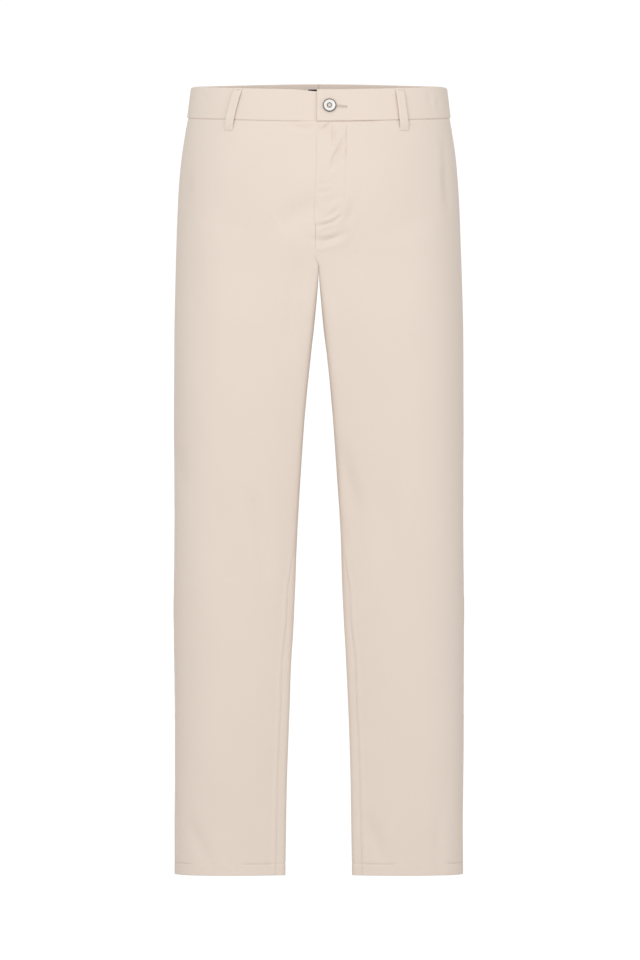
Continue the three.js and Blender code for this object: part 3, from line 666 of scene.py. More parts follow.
def linen(name, light, deep):
    finish = Finish(name)
    cloth = finish.attribute("cloth")
    threads = weave(finish, cloth)
    uneven = slubs(finish, cloth)
    cloudy = finish.noise(finish.scaled(cloth, 1 / 90, 1 / 140), 1.0)
    tone = uneven * 0.5 + threads * 0.25 + cloudy * 0.4 - 0.1
    height = threads * 0.6 + uneven * 0.8
    return finish.done(
        Base_Color=finish.blend(deep, light, tone),
        Roughness=0.97 - threads * 0.08,
        Normal=finish.bump(height, 0.00012, 0.6),
        Sheen_Weight=0.12,
        Sheen_Roughness=0.45,
        Specular_IOR_Level=0.2,
    )


LINEN = linen("linen", LINEN_LIGHT, LINEN_DEEP)
POCKETING = linen("pocketing", (0.74, 0.68, 0.6, 1), (0.7, 0.63, 0.54, 1))

# %% [markdown]
# ## Small hard and bright finishes
# The thread is a little darker than the cloth it holds. The label is a woven satin band, and the
# zip a dull synthetic. The button's finish comes with the button.

# %% Thread, label and zip
def plain_finish(name, light, deep, roughness, scale, bump_distance):
    finish = Finish(name)
    cloudy = finish.noise(finish.place(), scale, detail=3.0)
    return finish.done(
        Base_Color=finish.blend(deep, light, cloudy),
        Roughness=roughness + cloudy * 0.1,
        Normal=finish.bump(cloudy, bump_distance),
    )


THREAD = plain_finish("thread", (0.76, 0.67, 0.59, 1), (0.69, 0.6, 0.52, 1), 0.8, 900, 0.00008)
NAVY = plain_finish("label_cloth", (0.008, 0.01, 0.02, 1), (0.004, 0.005, 0.012, 1), 0.6, 1200, 0.00006)
ZIP_TAPE = plain_finish("zip_tape", (0.62, 0.56, 0.48, 1), (0.55, 0.5, 0.42, 1), 0.75, 1500, 0.00006)
ZIP_CHAIN = plain_finish("zip_chain", (0.5, 0.47, 0.42, 1), (0.42, 0.4, 0.36, 1), 0.35, 300, 0.00002)
PIECES = []


def fit(obj, slot, *nodes):
    """The piece rides on the garment's one body, and stands for the solids it is named for."""
    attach(obj, "root")
    if nodes:
        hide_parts(*nodes)
    PIECES.append(obj)
    print(obj.name, len(obj.data.polygons), "faces")
    return obj


# %% [markdown]
# ## Fronts and backs
# Four long panels carry the whole shape. Each front runs from the fly, and below it the centre
# seam and inseam, to the pocket mouth and the side seam; each back goes on from there. Their
# rows of points slant with the waistband at the top and crowd where the seat curves under.
# Along every seam the edge is turned in, and the thread's pull shows as puckers beside it.

# %% Heights of the panels' rows
SPACING = 3.3
TUCK = 3.0  # the top edge is tucked this far up inside the waistband
WALL = 0.9
HEM_STITCH = 15.5  # above the hem


def panel_heights():
    """A function of t for each row, from the waist seam down to the hem."""
    top = stations(-LEVEL_Z - 20 + TUCK, 2.2)[0]
    upper = [("slant", s / top[-1]) for s in top[:-1]]
    curve = [("curve", s) for s in np.linspace(0, 1, 76)[:-1]]
    leg = stations(CROTCH_Z - HEM_Z, SPACING)[0]
    near_hem_line = leg[-1] - HEM_STITCH + np.array([-2.4, -1.2, -0.6, 0, 0.6, 1.2, 2.4])
    clear = np.abs(leg - near_hem_line[3]) > 3.2
    lower = [("leg", s / leg[-1]) for s in np.sort(np.concatenate([leg[clear], near_hem_line]))]
    return upper + curve + lower


def row_height(row, t):
    kind, share = row
    if kind == "slant":
        return mix(edge_height(BAND_SEAM, t) + TUCK, LEVEL_Z, share)
    if kind == "curve":
        return mix(LEVEL_Z, CROTCH_Z, math.sin(share * math.pi / 2)) + 0 * t
    return mix(CROTCH_Z, HEM_Z, share) + 0 * t


ROWS = panel_heights()
WAIST_GROOVE = 1.5
FLATTER_Z = (-560, -660)  # below the knee the seams are pressed flatter
ROUND = 540  # about the millimetres in one unit of t


def pucker(along, distance, height, length, reach, seed):
    """Small waves along a seam that die away from it."""
    place = np.stack([along, 0 * along + seed * 37.0, 0 * along], -1)
    return height * swell(place, length) * bell(distance, reach)


def hem_drawn(t):
    """The hem's stitches pull hardest beside the seams."""
    return 0.08 + 0.92 * np.maximum(smooth(0.17, 0.08, t), smooth(0.33, 0.4, t))


def seam_relief(t, z, from_start, to_end, sewn_start, sewn_end):
    """What sewing does to a panel: edges turned in at the seams, and puckers beside them."""
    below = edge_height(BAND_SEAM, t) - z
    above_hem = z - HEM_Z
    lower = smooth(*FLATTER_Z, z)
    groove = 0.6 - 0.4 * lower
    relief = turned_in(np.maximum(below, 0), WAIST_GROOVE, 2.2)
    relief += turned_in(above_hem, 0.35, 1.2)
    relief += sewn_start * turned_in(from_start, groove, 2.2)
    relief += sewn_end * turned_in(to_end, groove, 2.2)
    relief += pucker(t * ROUND, below, 0.3, 15, 9, 1)
    relief += sewn_start * pucker(z, from_start, 0.22, 19, 9, 2)
    relief += sewn_end * pucker(z, to_end, 0.22, 21, 9, 3)
    pressed = 0.6 * bell(from_start - 3.6, 2.2) + pucker(z, from_start, 0.25, 8, 6, 8)
    relief += sewn_start * lower * pressed
    hem_line = above_hem - HEM_STITCH
    relief -= 0.45 * hem_drawn(t) * bell(hem_line, 1.0)
    return relief + pucker(t * ROUND, hem_line, 0.16, 12, 6, 4)


# %% The fly's lap and the pocket's mouth shape the fronts
FLY_LAP, FLY_UNDER, FLY_RISE, FLY_SPREAD = 2.4, 3.0, 0.35, 45
POCKET_AHEAD, POCKET_LENGTH, POCKET_GAPE = 36, 166, 1.1
J_STITCH = [(36, -34), (36, -120), (34.5, -140), (29, -156), (19, -168), (6, -176), (-2, -180)]
CLOSED = 0.04


def pocket_down(z):
    return np.clip((edge_height(BAND_SEAM, 0.45) - z) / POCKET_LENGTH, 0, 1)


def pocket_mouth_t(z):
    return side_seam_t(z) - front_step(z, POCKET_AHEAD * (1 - pocket_down(z) ** 1.15))


def front_outer_t(z):
    return np.minimum(pocket_mouth_t(z), side_seam_t(z)) - front_step(z, CLOSED)


def centre_edge(side, z):
    settled = smooth(FLY_BOTTOM_Z + 16, FLY_BOTTOM_Z + 2, z)
    return mix(-FLY_LAP if side > 0 else -FLY_UNDER, CLOSED, settled)


def fly_out(side, from_centre, z):
    lapped = smooth(FLY_SPREAD, 6, from_centre) * smooth(FLY_BOTTOM_Z - 30, FLY_BOTTOM_Z, z)
    return side * FLY_RISE * lapped


def panel_grid(start_of, end_of, length_of, middle_t, crowding):
    """t, z, and the distances from the panel's two edges. Crowding draws columns to the start."""
    rough = np.array([float(row_height(row, middle_t)) for row in ROWS])
    start, end = start_of(rough), end_of(rough)
    width = (end - start) * 2 * length_of(rough)
    across = stations(width, SPACING)
    inner = across[:, len(EDGE):-len(EDGE)]
    share = (inner - EDGE[-1]) / (width[:, None] - 2 * EDGE[-1])
    inner -= crowding * share * (1 - share) * width[:, None]
    t = start[:, None] + (end - start)[:, None] * across / width[:, None]
    z = np.array([row_height(row, t[i]) for i, row in enumerate(ROWS)])
    return t, z, across, width[:, None] - across


def front_panel(side, hand):
    t, z, from_start, to_end = panel_grid(
        lambda z: front_step(z, centre_edge(side, z)), front_outer_t, front_length, 0.25, 0.45
    )
    sewn_start = smooth(FLY_BOTTOM_Z + 8, FLY_BOTTOM_Z - 4, z)
    sewn_end = smooth(0.97, 1.0, pocket_down(z))
    out = fly_out(side, plain_point(t, z)[..., 0], z)
    near_mouth = smooth(0.8, 1, from_start / (from_start + to_end))
    out += np.sin(pocket_down(z) * math.pi) * near_mouth * POCKET_GAPE
    out += seam_relief(t, z, from_start, to_end, sewn_start, sewn_end)
    out += (1 - sewn_start) * turned_in(from_start, 0.4, 0.9)
    out += (1 - sewn_end) * turned_in(to_end, 0.4, 0.9)
    if side > 0:
        place = plain_point(t, z)
        distance, along = near_route(place[..., 0], z, J_STITCH)
        sunk = 0.5 - 0.45 * smooth(-72, -98, z)
        out -= sunk * bell(distance, 0.8)
        out += pucker(along * 200, distance, 0.2, 11, 6, 5)
    piece = cloth_piece(f"linen_front_{hand}", side, t, z, out, WALL, LINEN, from_end=True)
    return fit(piece, "linen", f"front_{hand}")


def back_panel(side, hand):
    t, z, from_start, to_end = panel_grid(
        lambda z: side_seam_t(z) + back_step(z, CLOSED),
        lambda z: 1 - back_step(z, CLOSED),
        back_length,
        0.75,
        0,
    )
    out = seam_relief(t, z, from_start, to_end, 1, 1)
    out += 1.4 * smooth(*FLATTER_Z, z) * bell(to_end - 12, 7)
    piece = cloth_piece(f"linen_back_{hand}", side, t, z, out, WALL, LINEN)
    return fit(piece, "linen", f"back_{hand}")


HANDS = ((1, "left"), (-1, "right"))
fronts = {hand: front_panel(side, hand) for side, hand in HANDS}
backs = {hand: back_panel(side, hand) for side, hand in HANDS}

# %% [markdown]
# ## Waistband
# The waistband is a doubled strip, stiffened inside, so its edges are full and round. A strip
# grid would make it look cut from card. Instead a rounded section is swept round the waist: k
# goes once round that section, from the top edge down the outside and up again inside. The left
# end laps over the right one, and carries the buttonhole.

# %% Two halves of a rounded band
BAND_OUT, BAND_WALL = 0.6, 2.5
LAP_EDGE, LAP_RISE, LAP_DROP, LAP_UNDER = 2.4, 1.1, 2.0, 40
LAP_ENDS, UNDER_ENDS = (92, 64), (30, 4)  # over which the lap rises and the end under it drops
UNDER_END_DIP = 2.3
SIDE_DIP = {"left": 3.2, "right": 1.8}  # the top edge sags a little over the hip
BAND_PUFF = 0.35


def waist_step(distance):
    return front_step(WAIST_Z, distance)


def band_out(side, from_centre):
    if side > 0:
        return BAND_OUT + LAP_RISE * smooth(*LAP_ENDS, from_centre)
    return BAND_OUT - LAP_DROP * smooth(*UNDER_ENDS, from_centre)


def round_section(wall):
    """Once round a strip's section: share down its straight faces, lift at its round edges, way in."""
    radius = wall / 2
    turn = np.linspace(math.pi / 2, 0, 6)[:-1]
    straight = np.linspace(0, 1, 13)
    share = np.concatenate([0 * turn, straight, 0 * turn + 1, [1]])
    rise, sink = radius * np.sin(turn), radius - radius * np.cos(turn)
    lift = np.concatenate([rise, 0 * straight, -rise[::-1], [0]])
    inwards = np.concatenate([sink, 0 * straight, sink[::-1], [0]])
    share, lift, inwards = share[:-1], lift[:-1], inwards[:-1]
    back = slice(-2, 0, -1)
    return (
        np.concatenate([share, share[back]]),
        np.concatenate([lift, lift[back]]),
        np.concatenate([inwards, wall - inwards[back]]),
    )


def swept_strip(name, side, t, high, low, out, wall, material, across):
    """A strip with round edges: t runs along it, high and low are its edges at each t."""
    share, lift, inwards = (values[:, None] for values in round_section(wall))
    closing = np.clip(np.minimum(across, across.max() - across) / 1.3, 0, 1)
    fullness = 0.3 + 0.7 * np.sqrt(closing)
    t = np.broadcast_to(t, (len(share), len(t)))
    z = mix(high - wall / 2, low + wall / 2, share) + lift
    puff = BAND_PUFF * np.sin(math.pi * share) * (inwards < wall / 2)
    reach = out + puff - wall / 2 - (inwards - wall / 2) * fullness
    points = body_point(side, t, z, reach).reshape(-1, 3)
    index = np.arange(len(points)).reshape(t.shape)
    around = np.vstack([index, index[:1]])
    corners = (around[:-1, :-1], around[1:, :-1], around[1:, 1:], around[:-1, 1:])
    faces = np.stack(corners, -1).reshape(-1, 4).tolist()
    faces += end_cap(index[:, 0]) + [cap[::-1] for cap in end_cap(index[:, -1])]
    if side < 0:
        faces = [face[::-1] for face in faces]
    flat = np.stack([np.broadcast_to(across, z.shape) * side, z], -1).reshape(-1, 2)
    return mesh_object(name, points, faces, flat, material)


def end_cap(ring):
    """Faces that close a strip's end, from its top edge down to its bottom edge."""
    ring = [int(i) for i in ring]
    half = len(ring) // 2
    pairs = [(ring[i], ring[-i % len(ring)]) for i in range(half + 1)]
    faces = [(pairs[0][0], pairs[1][1], pairs[1][0])]
    for (a, b), (c, d) in zip(pairs[1:-2], pairs[2:-1]):
        faces.append((a, b, d, c))
    return faces + [(pairs[-2][0], pairs[-2][1], pairs[-1][0])]


def waistband(side, hand):
    start = -LAP_EDGE if side > 0 else -LAP_UNDER
    total = waist_step(start)
    length = (1 - total) * 2 * front_length(WAIST_Z)
    across = stations(length, 2.6)[0]
    t = total + (1 - back_step(WAIST_Z, CLOSED) - total) * across / across[-1]
    from_centre = t / waist_step(1.0)
    dip = UNDER_END_DIP * smooth(36, 2, from_centre) if side < 0 else 0
    corner = SIDE_DIP[hand] * bell(t - 0.5, 0.05)
    high = edge_height(BAND_TOP, t) - dip - corner
    low = edge_height(BAND_SEAM, t) + 0.1
    out = band_out(side, from_centre) + pucker(from_centre, 0 * t, 0.18, 26, 9, 6)
    name = f"waistband_linen_{hand}"
    piece = swept_strip(name, side, t, high, low, out, BAND_WALL, LINEN, across)
    return fit(piece, "linen", f"waistband_{hand}")


bands = {hand: waistband(side, hand) for side, hand in HANDS}

# %% [markdown]
# ## Slant pockets
# A slant pocket is a cut in the side of the front. Through it shows the facing, a strip of the
# trousers' own linen that carries on to the side seam, and behind it hangs the bag of thinner
# cloth. The facing starts under the front and rises to its level where the mouth ends, so that
# the two make one even surface with a slit in it.

# %% Facings and bags
CLOTH, SLACK = 1.3, 0.7
UNDER_FRONT = -(CLOTH + SLACK)
FACING_UNDER, BAG_AHEAD, BAG_BOTTOM_Z = 20, 128, -262


def pocket_facing(side, hand):
    bottom = edge_height(BAND_SEAM, 0.5) - POCKET_LENGTH - 8
    v = np.linspace(0, 1, 56)
    rough = mix(edge_height(BAND_SEAM, 0.5) + 2, bottom, v)
    seam = side_seam_t(rough) - front_step(rough, CLOSED)
    mouth = np.minimum(pocket_mouth_t(rough), seam)
    start = mouth - front_step(rough, FACING_UNDER)
    width = (seam - start) * 2 * front_length(rough)
    across = stations(width, 2.6)
    t = start[:, None] + (seam - start)[:, None] * across / width[:, None]
    z = mix(edge_height(BAND_SEAM, t) + 2, bottom, v[:, None])
    room = np.clip((seam - mouth) / front_step(rough, 22), 0, 1)[:, None]
    rise = room * smooth((mouth + front_step(rough, 1.5))[:, None], seam[:, None], t)
    below = edge_height(BAND_SEAM, t) - z
    to_seam = width[:, None] - across
    out = UNDER_FRONT * (1 - rise) + turned_in(to_seam, 0.6, 2.2)
    out = out + turned_in(np.maximum(below, 0), WAIST_GROOVE, 2.2) + pucker(z, to_seam, 0.25, 17, 9, 7)
    piece = cloth_piece(f"facing_linen_{hand}", side, t, z, out, WALL, LINEN, from_end=True)
    return fit(piece, "linen", f"pocket_facing_{hand}")


def pocket_bag(side, hand):
    v = np.linspace(0, 1, 70)[:, None]
    u = np.linspace(0, 1, 44)[None, :]
    rough = mix(edge_height(BAND_SEAM, 0.4), BAG_BOTTOM_Z, v)
    seam = side_seam_t(rough) - front_step(rough, 3)
    slope = 1 - 0.25 * np.sin(v * math.pi / 2)
    t = mix(seam - front_step(rough, BAG_AHEAD * slope), seam, u)
    corner = 18 * (2 * u - 1) ** 4 * v**3
    z = mix(edge_height(BAND_SEAM, t) - 1.3, BAG_BOTTOM_Z + corner, v)
    piece = cloth_piece(f"bag_cloth_{hand}", side, t, z, 2.3 * UNDER_FRONT, 1.1, POCKETING)
    return fit(piece, "pocketing", f"pocket_bag_{hand}")


facings = {hand: pocket_facing(side, hand) for side, hand in HANDS}
bags = {hand: pocket_bag(side, hand) for side, hand in HANDS}

# %% [markdown]
# ## The fly's underlap and its zip
# Behind the fly lies a flap that keeps the zip off the skin, and between them the zip itself:
# two woven tapes with a closed chain of small teeth, and a slider at its top. Only its edge can
# be seen, from above or behind, but it keeps the front from looking hollow.

# %% Underlap, tapes, teeth and slider
UNDERLAP = {"start": -9, "width": 44, "bottom_z": -170, "out": -3.4, "wall": 1.1}
ZIP = {
    "start": 3.6, "width": 23, "top_z": -33, "tape": 0.7, "clear": 0.8,
    "tooth": 1.25, "tooth_size": (3.4, 0.8, 1.1), "slider_size": (5.2, 7.5, 1.2),
}


def fly_underlap():
    v = np.linspace(0, 1, 56)[:, None]
    u = np.linspace(0, 1, 18)[None, :]
    narrow = UNDERLAP["width"] * (1 - 0.35 * v**3)
    rough = mix(BAND_SEAM[0] - BAND_SEAM[1], UNDERLAP["bottom_z"], v)
    t = front_step(rough, UNDERLAP["start"] + narrow * u)
    z = rough - 1.3
    piece = cloth_piece("underlap_linen", 1, t, z, UNDERLAP["out"], UNDERLAP["wall"], LINEN)
    return fit(piece, "linen", "fly_underlap")


def zip_out(from_centre, z):
    return fly_out(1, from_centre, z) - CLOTH - ZIP["clear"]


def zip_tape(bottom_z):
    v = np.linspace(0, 1, 44)[:, None]
    from_centre = ZIP["start"] + np.linspace(0, ZIP["width"], 14)[None, :]
    z = mix(ZIP["top_z"], bottom_z, v)
    t = front_step(z, from_centre)
    piece = cloth_piece("zip_tapes", 1, t, z, zip_out(from_centre, z), ZIP["tape"], ZIP_TAPE)
    return fit(piece, "zip", "fly_zip")


def box_at(centre, along, outward, size):
    """Eight corners and six faces of a small block lying along one direction."""
    across = np.cross(outward, along)
    axes = np.array([along, across, outward]) * np.array(size)[:, None] / 2
    signs = np.array([(a, b, c) for a in (-1, 1) for b in (-1, 1) for c in (-1, 1)])
    corners = centre + signs @ axes
    faces = [(0, 1, 3, 2), (4, 6, 7, 5), (0, 4, 5, 1), (2, 3, 7, 6), (0, 2, 6, 4), (1, 5, 7, 3)]
    return corners, faces


def joined(name, parts, material):
    """Many small lumps as one mesh."""
    points, faces, base = [], [], 0
    for corners, own in parts:
        points.append(corners)
        faces += [tuple(base + i for i in face) for face in own]
        base += len(corners)
    points = np.vstack(points)
    return mesh_object(name, points, faces, points[:, [0, 2]], material)


def zip_block(aside, z, sunk, size):
    z = np.array([z])
    t = front_step(z, aside)
    centre = body_point(1, t, z, zip_out(aside, z) - ZIP["tape"] - sunk)[0]
    outward = plain_normal(t, z)[0]
    return box_at(centre, unit(np.cross(outward, (0, 0, 1.0))), outward, size)


def zip_teeth(bottom_z):
    middle = ZIP["start"] + ZIP["width"] / 2
    blocks = []
    for k, z in enumerate(np.arange(bottom_z + 3, ZIP["top_z"] - 6, ZIP["tooth"])):
        blocks.append(zip_block(middle + (0.55 if k % 2 else -0.55), z, 0.4, ZIP["tooth_size"]))
    blocks.append(zip_block(middle, ZIP["top_z"] - 5.0, 0.6, ZIP["slider_size"]))
    piece = joined("zip_teeth", blocks, ZIP_CHAIN)
    bevel = piece.modifiers.new("rounded", "BEVEL")
    bevel.width = 0.0001
    bevel.segments = 2
    return fit(piece, "zip")


ZIP_BOTTOM_Z = float(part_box("fly_zip")[0].z) * 1000
underlap = fly_underlap()
tapes = zip_tape(ZIP_BOTTOM_Z)
zip_teeth(ZIP_BOTTOM_Z)

# %% [markdown]
# ## Hems
# The bottom of each leg is turned up inside and stitched down. From outside only the line of
# stitches shows, with the cloth drawn in a little along it; inside lies a second layer.

# %% The turned-up layer
HEM_DEPTH = 18


def hem(side, hand):
    seam = float(side_seam_t(HEM_Z))
    t = np.concatenate([np.linspace(0, seam, 90)[:-1], np.linspace(seam, 1, 100)[:-1]])[None, :]
    rise = stations(HEM_DEPTH, 2.5)[0][:, None]
    z = HEM_Z + HEM_DEPTH - rise
    out = -1.05 + turned_in(z - HEM_Z, 0.35, 1.2) + turned_in(HEM_DEPTH - (z - HEM_Z), 0.3, 1.2)
    piece = cloth_piece(f"hem_linen_{hand}", side, t, z, out, WALL, LINEN, wrap=True)
    return fit(piece, "linen", f"hem_{hand}")


hems = {hand: hem(side, hand) for side, hand in HANDS}

# %% [markdown]
# ## Belt loops
# A belt loop is a narrow strip, folded and stitched, whose two ends are tacked down while its
# middle stands a finger's width of slack off the waistband. The same swept strip as the
# waistband's would run sideways, so here the grid runs down the loop, and its out follows an arch.

# %% Five loops
LOOP = {"width": 11.6, "wall": 1.3, "gap": 1.9, "below": 14, "end_gap": 0.25}
LOOPS = {
    "belt_loop_front_right": (-1, 0, 107, 114.5),
    "belt_loop_front_left": (1, 0, 107.5, 108.7),
    "belt_loop_back_right": (-1, 1, 117, 118),
    "belt_loop_back_left": (1, 1, 118, 117),
    "belt_loop_centre_back": (1, 1, 0, 1),
}


def t_at_x(face, x, z):
    """The t of the front (face 0) or back (face 1) at distances x from the centre line."""
    centre, outer = np.full(np.shape(x), float(face)), np.full(np.shape(x), 0.5)
    for _ in range(24):
        middle = (centre + outer) / 2
        inside = plain_point(middle, z)[..., 0] < x
        centre, outer = np.where(inside, middle, centre), np.where(inside, outer, middle)
    return centre


def belt_loop(name, side, face, top, bottom):
    v = np.linspace(0, 1, 60)[:, None]
    aside = (stations(LOOP["width"], 1.4)[0] - LOOP["width"] / 2)[None, :]
    middle = t_at_x(face, mix(top, bottom, 1 - (1 - v) ** 1.6), WAIST_Z)
    t = middle + (waist_step(aside) if face == 0 else back_step(WAIST_Z, aside))
    high, low = edge_height(BAND_TOP, t) - 0.2, edge_height(BAND_SEAM, t) - LOOP["below"]
    z = mix(high, low, v)
    seat = mix(BAND_OUT + LOOP["end_gap"], LOOP["end_gap"], smooth(0.7, 0.8, v))
    arch = LOOP["gap"] * smooth(0, 0.22, v) * smooth(1, 0.82, v)
    to_end = np.minimum(v, 1 - v) * (LOOP["below"] + 42)
    out = seat + arch + LOOP["wall"] + 0.25 * bell(np.abs(aside) - 3.9, 1.1)
    out = out + turned_in(LOOP["width"] / 2 - np.abs(aside), 0.5, 1.2) + turned_in(to_end, 0.5, 1.2)
    piece = cloth_piece(f"linen_{name}", side, t, z, out, LOOP["wall"], LINEN)
    return fit(piece, "linen", name)


loops = {name: belt_loop(name, *row) for name, row in LOOPS.items()}

# %% [markdown]
# ## Label
# A woven label is sewn inside the back of the waistband. It is left bare here: a navy band of
# satin with its ends folded under.

# %% A bare navy band
LABEL = {"width": 29, "height": 26, "top": 7, "wall": 0.6}


def label():
    aside = (stations(LABEL["width"], 2.2)[0] - LABEL["width"] / 2)[None, :]
    down = stations(LABEL["height"], 2.2)[0][:, None]
    z = BAND_TOP[0] + BAND_TOP[1] - LABEL["top"] - down
    out = BAND_OUT - 2.6 - 0.5 - 0.35 * bell(down - LABEL["height"] / 2, 9)
    piece = cloth_piece("label_band", 1, 1 + back_step(WAIST_Z, aside), z, out, LABEL["wall"], NAVY)
    return fit(piece, "label", "label")


navy_label = label()

# %% [markdown]
# ## Button
# The button is turned from shell: a dished face inside a raised rim, with four holes. A lathe is
# one profile turned round an axis. The holes are cut with a Boolean modifier, and thread goes
# down through them to the band below. The finish is mother of pearl: pale, glossy and cloudy,
# with painted shade in a ring round the holes and a painted dark reflection on the rim.

# %% Turning and drilling the button
BUTTON = {"x": 14, "z": -9.4, "radius": 9, "thick": 2.6, "rim": 1.7, "hole": 1.0, "pitch": 1.75}
# painted shade and painted dark reflection: the colour of the ring round the holes and of the rim
PEARL_PAINTED_SHADE_AND_REFLECTION = (0.12, 0.11, 0.1, 1)


def band_seat(x, z, out):
    """Where something on the waistband's left end sits, and the three directions there."""
    t, height = np.array([waist_step(x)]), np.array([float(z)])
    outward = plain_normal(t, height)[0]
    across = unit(np.cross((0, 0, 1.0), outward))
    return body_point(1, t, height, out)[0], across, np.cross(outward, across), outward


def lathe(profile, steps):
    """A closed solid of revolution round z from (radius, height) rows that start and end on it."""
    profile = np.array(profile, float)
    turns = np.arange(steps) / steps * 2 * math.pi
    rings = profile[1:-1]
    points = [(0, 0, profile[0, 1])]
    points += [(r * math.cos(a), r * math.sin(a), h) for r, h in rings for a in turns]
    points.append((0, 0, profile[-1, 1]))
    faces = []
    for i in range(steps):
        j = (i + 1) % steps
        faces.append((0, 1 + j, 1 + i))
        for row in range(len(rings) - 1):
            a, b = 1 + row * steps, 1 + (row + 1) * steps
            faces.append((a + i, a + j, b + j, b + i))
        last = 1 + (len(rings) - 1) * steps
        faces.append((last + i, last + j, len(points) - 1))
    return np.array(points), faces


def smooth_profile(corners, steps):
    """Rounds a profile's corners, as polishing does."""
    corners = np.array(corners, float)
    run = run_along(corners)
    line = at_lengths(corners, run, np.linspace(0, run[-1], steps))
    for _ in range(2):
        line[1:-1] = (line[:-2] + 2 * line[1:-1] + line[2:]) / 4
    return line


def pearl(centre):
    """Bright in the dish, with painted shade round the holes and a painted dark reflection on the rim.
    """
    finish = Finish("pearl")
    place = finish.place()
    ends = {0: place, 1: tuple(centre / 1000)}
    away = finish.node("ShaderNodeVectorMath", {"operation": "DISTANCE"}, ends, output="Value") * 1000
    cloudy = finish.noise(place, 160, detail=3.0)
    face = finish.blend((0.74, 0.73, 0.71, 1), (0.9, 0.89, 0.87, 1), cloudy)
    # painted shade: a ring round the holes is darkened for the shade of the recess they sit in
    face_with_painted_hole_shade = finish.blend(face, PEARL_PAINTED_SHADE_AND_REFLECTION, 1.6 - abs(away - 3.3) * 1.5)
    return finish.done(
        # painted dark reflection: the rim is darkened for the dark glints a glossy rim reflects
        Base_Color=finish.blend(face_with_painted_hole_shade, PEARL_PAINTED_SHADE_AND_REFLECTION, (away - BUTTON["radius"] + 1.5) * 2.2),
        Roughness=0.22 + cloudy * 0.1,
        Normal=finish.bump(cloudy, 0.00003),
        Coat_Weight=0.3,
    )


def placed(points, seat):
    centre, across, up, outward = seat
    return centre + points @ np.array([across, up, outward])


def cut_away(obj, cutter):
    """Takes one closed mesh out of another, works the cut in and drops the cutter."""
    cut = obj.modifiers.new("cut", "BOOLEAN")
    cut.object = cutter
    cut.solver = "EXACT"
    graph = bpy.context.evaluated_depsgraph_get()
    mesh = bpy.data.meshes.new_from_object(obj.evaluated_get(graph))
    obj.modifiers.clear()
    obj.data = mesh
    bpy.data.objects.remove(cutter)


def button():
    radius, thick, rim = BUTTON["radius"], BUTTON["thick"], BUTTON["rim"]
    corners = [
        (0, 0), (radius * 0.72, 0), (radius * 0.95, 0.5), (radius, thick * 0.62),
        (radius * 0.97, thick * 0.9), (radius - rim * 0.5, thick), (radius - rim, thick * 0.86),
        (radius * 0.62, thick * 0.68), (radius * 0.42, thick * 0.74), (radius * 0.34, thick * 0.56),
        (0, thick * 0.5),
    ]
    seat = band_seat(BUTTON["x"], BUTTON["z"], BAND_OUT + LAP_RISE + 0.45)
    points, faces = lathe(smooth_profile(corners, 40), 64)
    shell = pearl(seat[0])
    disc = mesh_object("button_pearl", placed(points, seat), faces, points[:, :2], shell)
    drills = []
    for dx, dy in ((1, 1), (1, -1), (-1, 1), (-1, -1)):
        drill, own = lathe([(0, -3), (BUTTON["hole"], -3), (BUTTON["hole"], 6), (0, 6)], 20)
        drills.append((placed(drill + (dx * BUTTON["pitch"], dy * BUTTON["pitch"], 0), seat), own))
    cut_away(disc, joined("drill", drills, shell))
    fit(disc, "button", "button")
    return seat


BUTTON_SEAT = button()

# %% [markdown]
# The buttonhole droops a little, and the button pulls it slightly open. It is a slit right through
# the lap, so a thin block is taken out of the band. Its edges are oversewn further down.

# %% The slit
HOLE = {"from": 13.0, "to": 36.6, "gape": 0.22, "droop": 1.8}


def hole_z(x):
    return BUTTON["z"] - HOLE["droop"] * (x - HOLE["from"]) / (HOLE["to"] - HOLE["from"])


def buttonhole(band):
    middle, length = (HOLE["from"] + HOLE["to"]) / 2, HOLE["to"] - HOLE["from"]
    centre, across, up, outward = band_seat(middle, hole_z(middle), BAND_OUT + LAP_RISE - 1.2)
    along = unit(across * length - up * HOLE["droop"])
    cut_away(band, joined("slit", [box_at(centre, along, outward, (length, HOLE["gape"], 7))], LINEN))


buttonhole(bands["left"])

# %% [markdown]
# ## Stitches
# At arm's length a row of stitches is a line of short raised dashes. Each one is a small capsule
# pressed into the cloth. One function lays them along any line on the garment, and every row of
# stitching becomes one joined mesh.

# %% Capsules in rows
STITCH = {"pitch": 2.7, "length": 2.1, "radius": 0.2}


def capsule(start, end, radius, outward):
    """A low-sided thread between two points, with rounded ends."""
    along = unit(end - start)
    across = unit(np.cross(outward, along))
    up = np.cross(along, across)
    sides = 6
    rings = [(start - along * radius, 0.35), (start, 1), (mix(start, end, 0.5) + up * radius * 0.4, 1)]
    rings += [(end, 1), (end + along * radius, 0.35)]
    points = []
    for centre, share in rings:
        for k in range(sides):
            a = 2 * math.pi * k / sides
            points.append(centre + radius * share * (math.cos(a) * across + math.sin(a) * up))
    faces = [tuple(range(sides - 1, -1, -1)), tuple(range(4 * sides, 5 * sides))]
    for r in range(4):
        for k in range(sides):
            j = (k + 1) % sides
            faces.append((r * sides + k, r * sides + j, (r + 1) * sides + j, (r + 1) * sides + k))
    return np.array(points), faces


def stitch_row(side, t, z, out):
    """Stitches along a line on the body, which t and z follow closely."""
    line = body_point(side, t, z, out)
    normals = plain_normal(t, z) * np.array([side, 1, 1])
    run = np.concatenate([[0], np.cumsum(np.linalg.norm(np.diff(line, axis=0), axis=1))])
    made = []
    for start in np.arange(0.4, run[-1] - STITCH["length"], STITCH["pitch"]):
        a, b = (at_lengths(line, run, place) for place in (start, start + STITCH["length"]))
        made.append(capsule(a, b, STITCH["radius"], at_lengths(normals, run, start)))
    return made


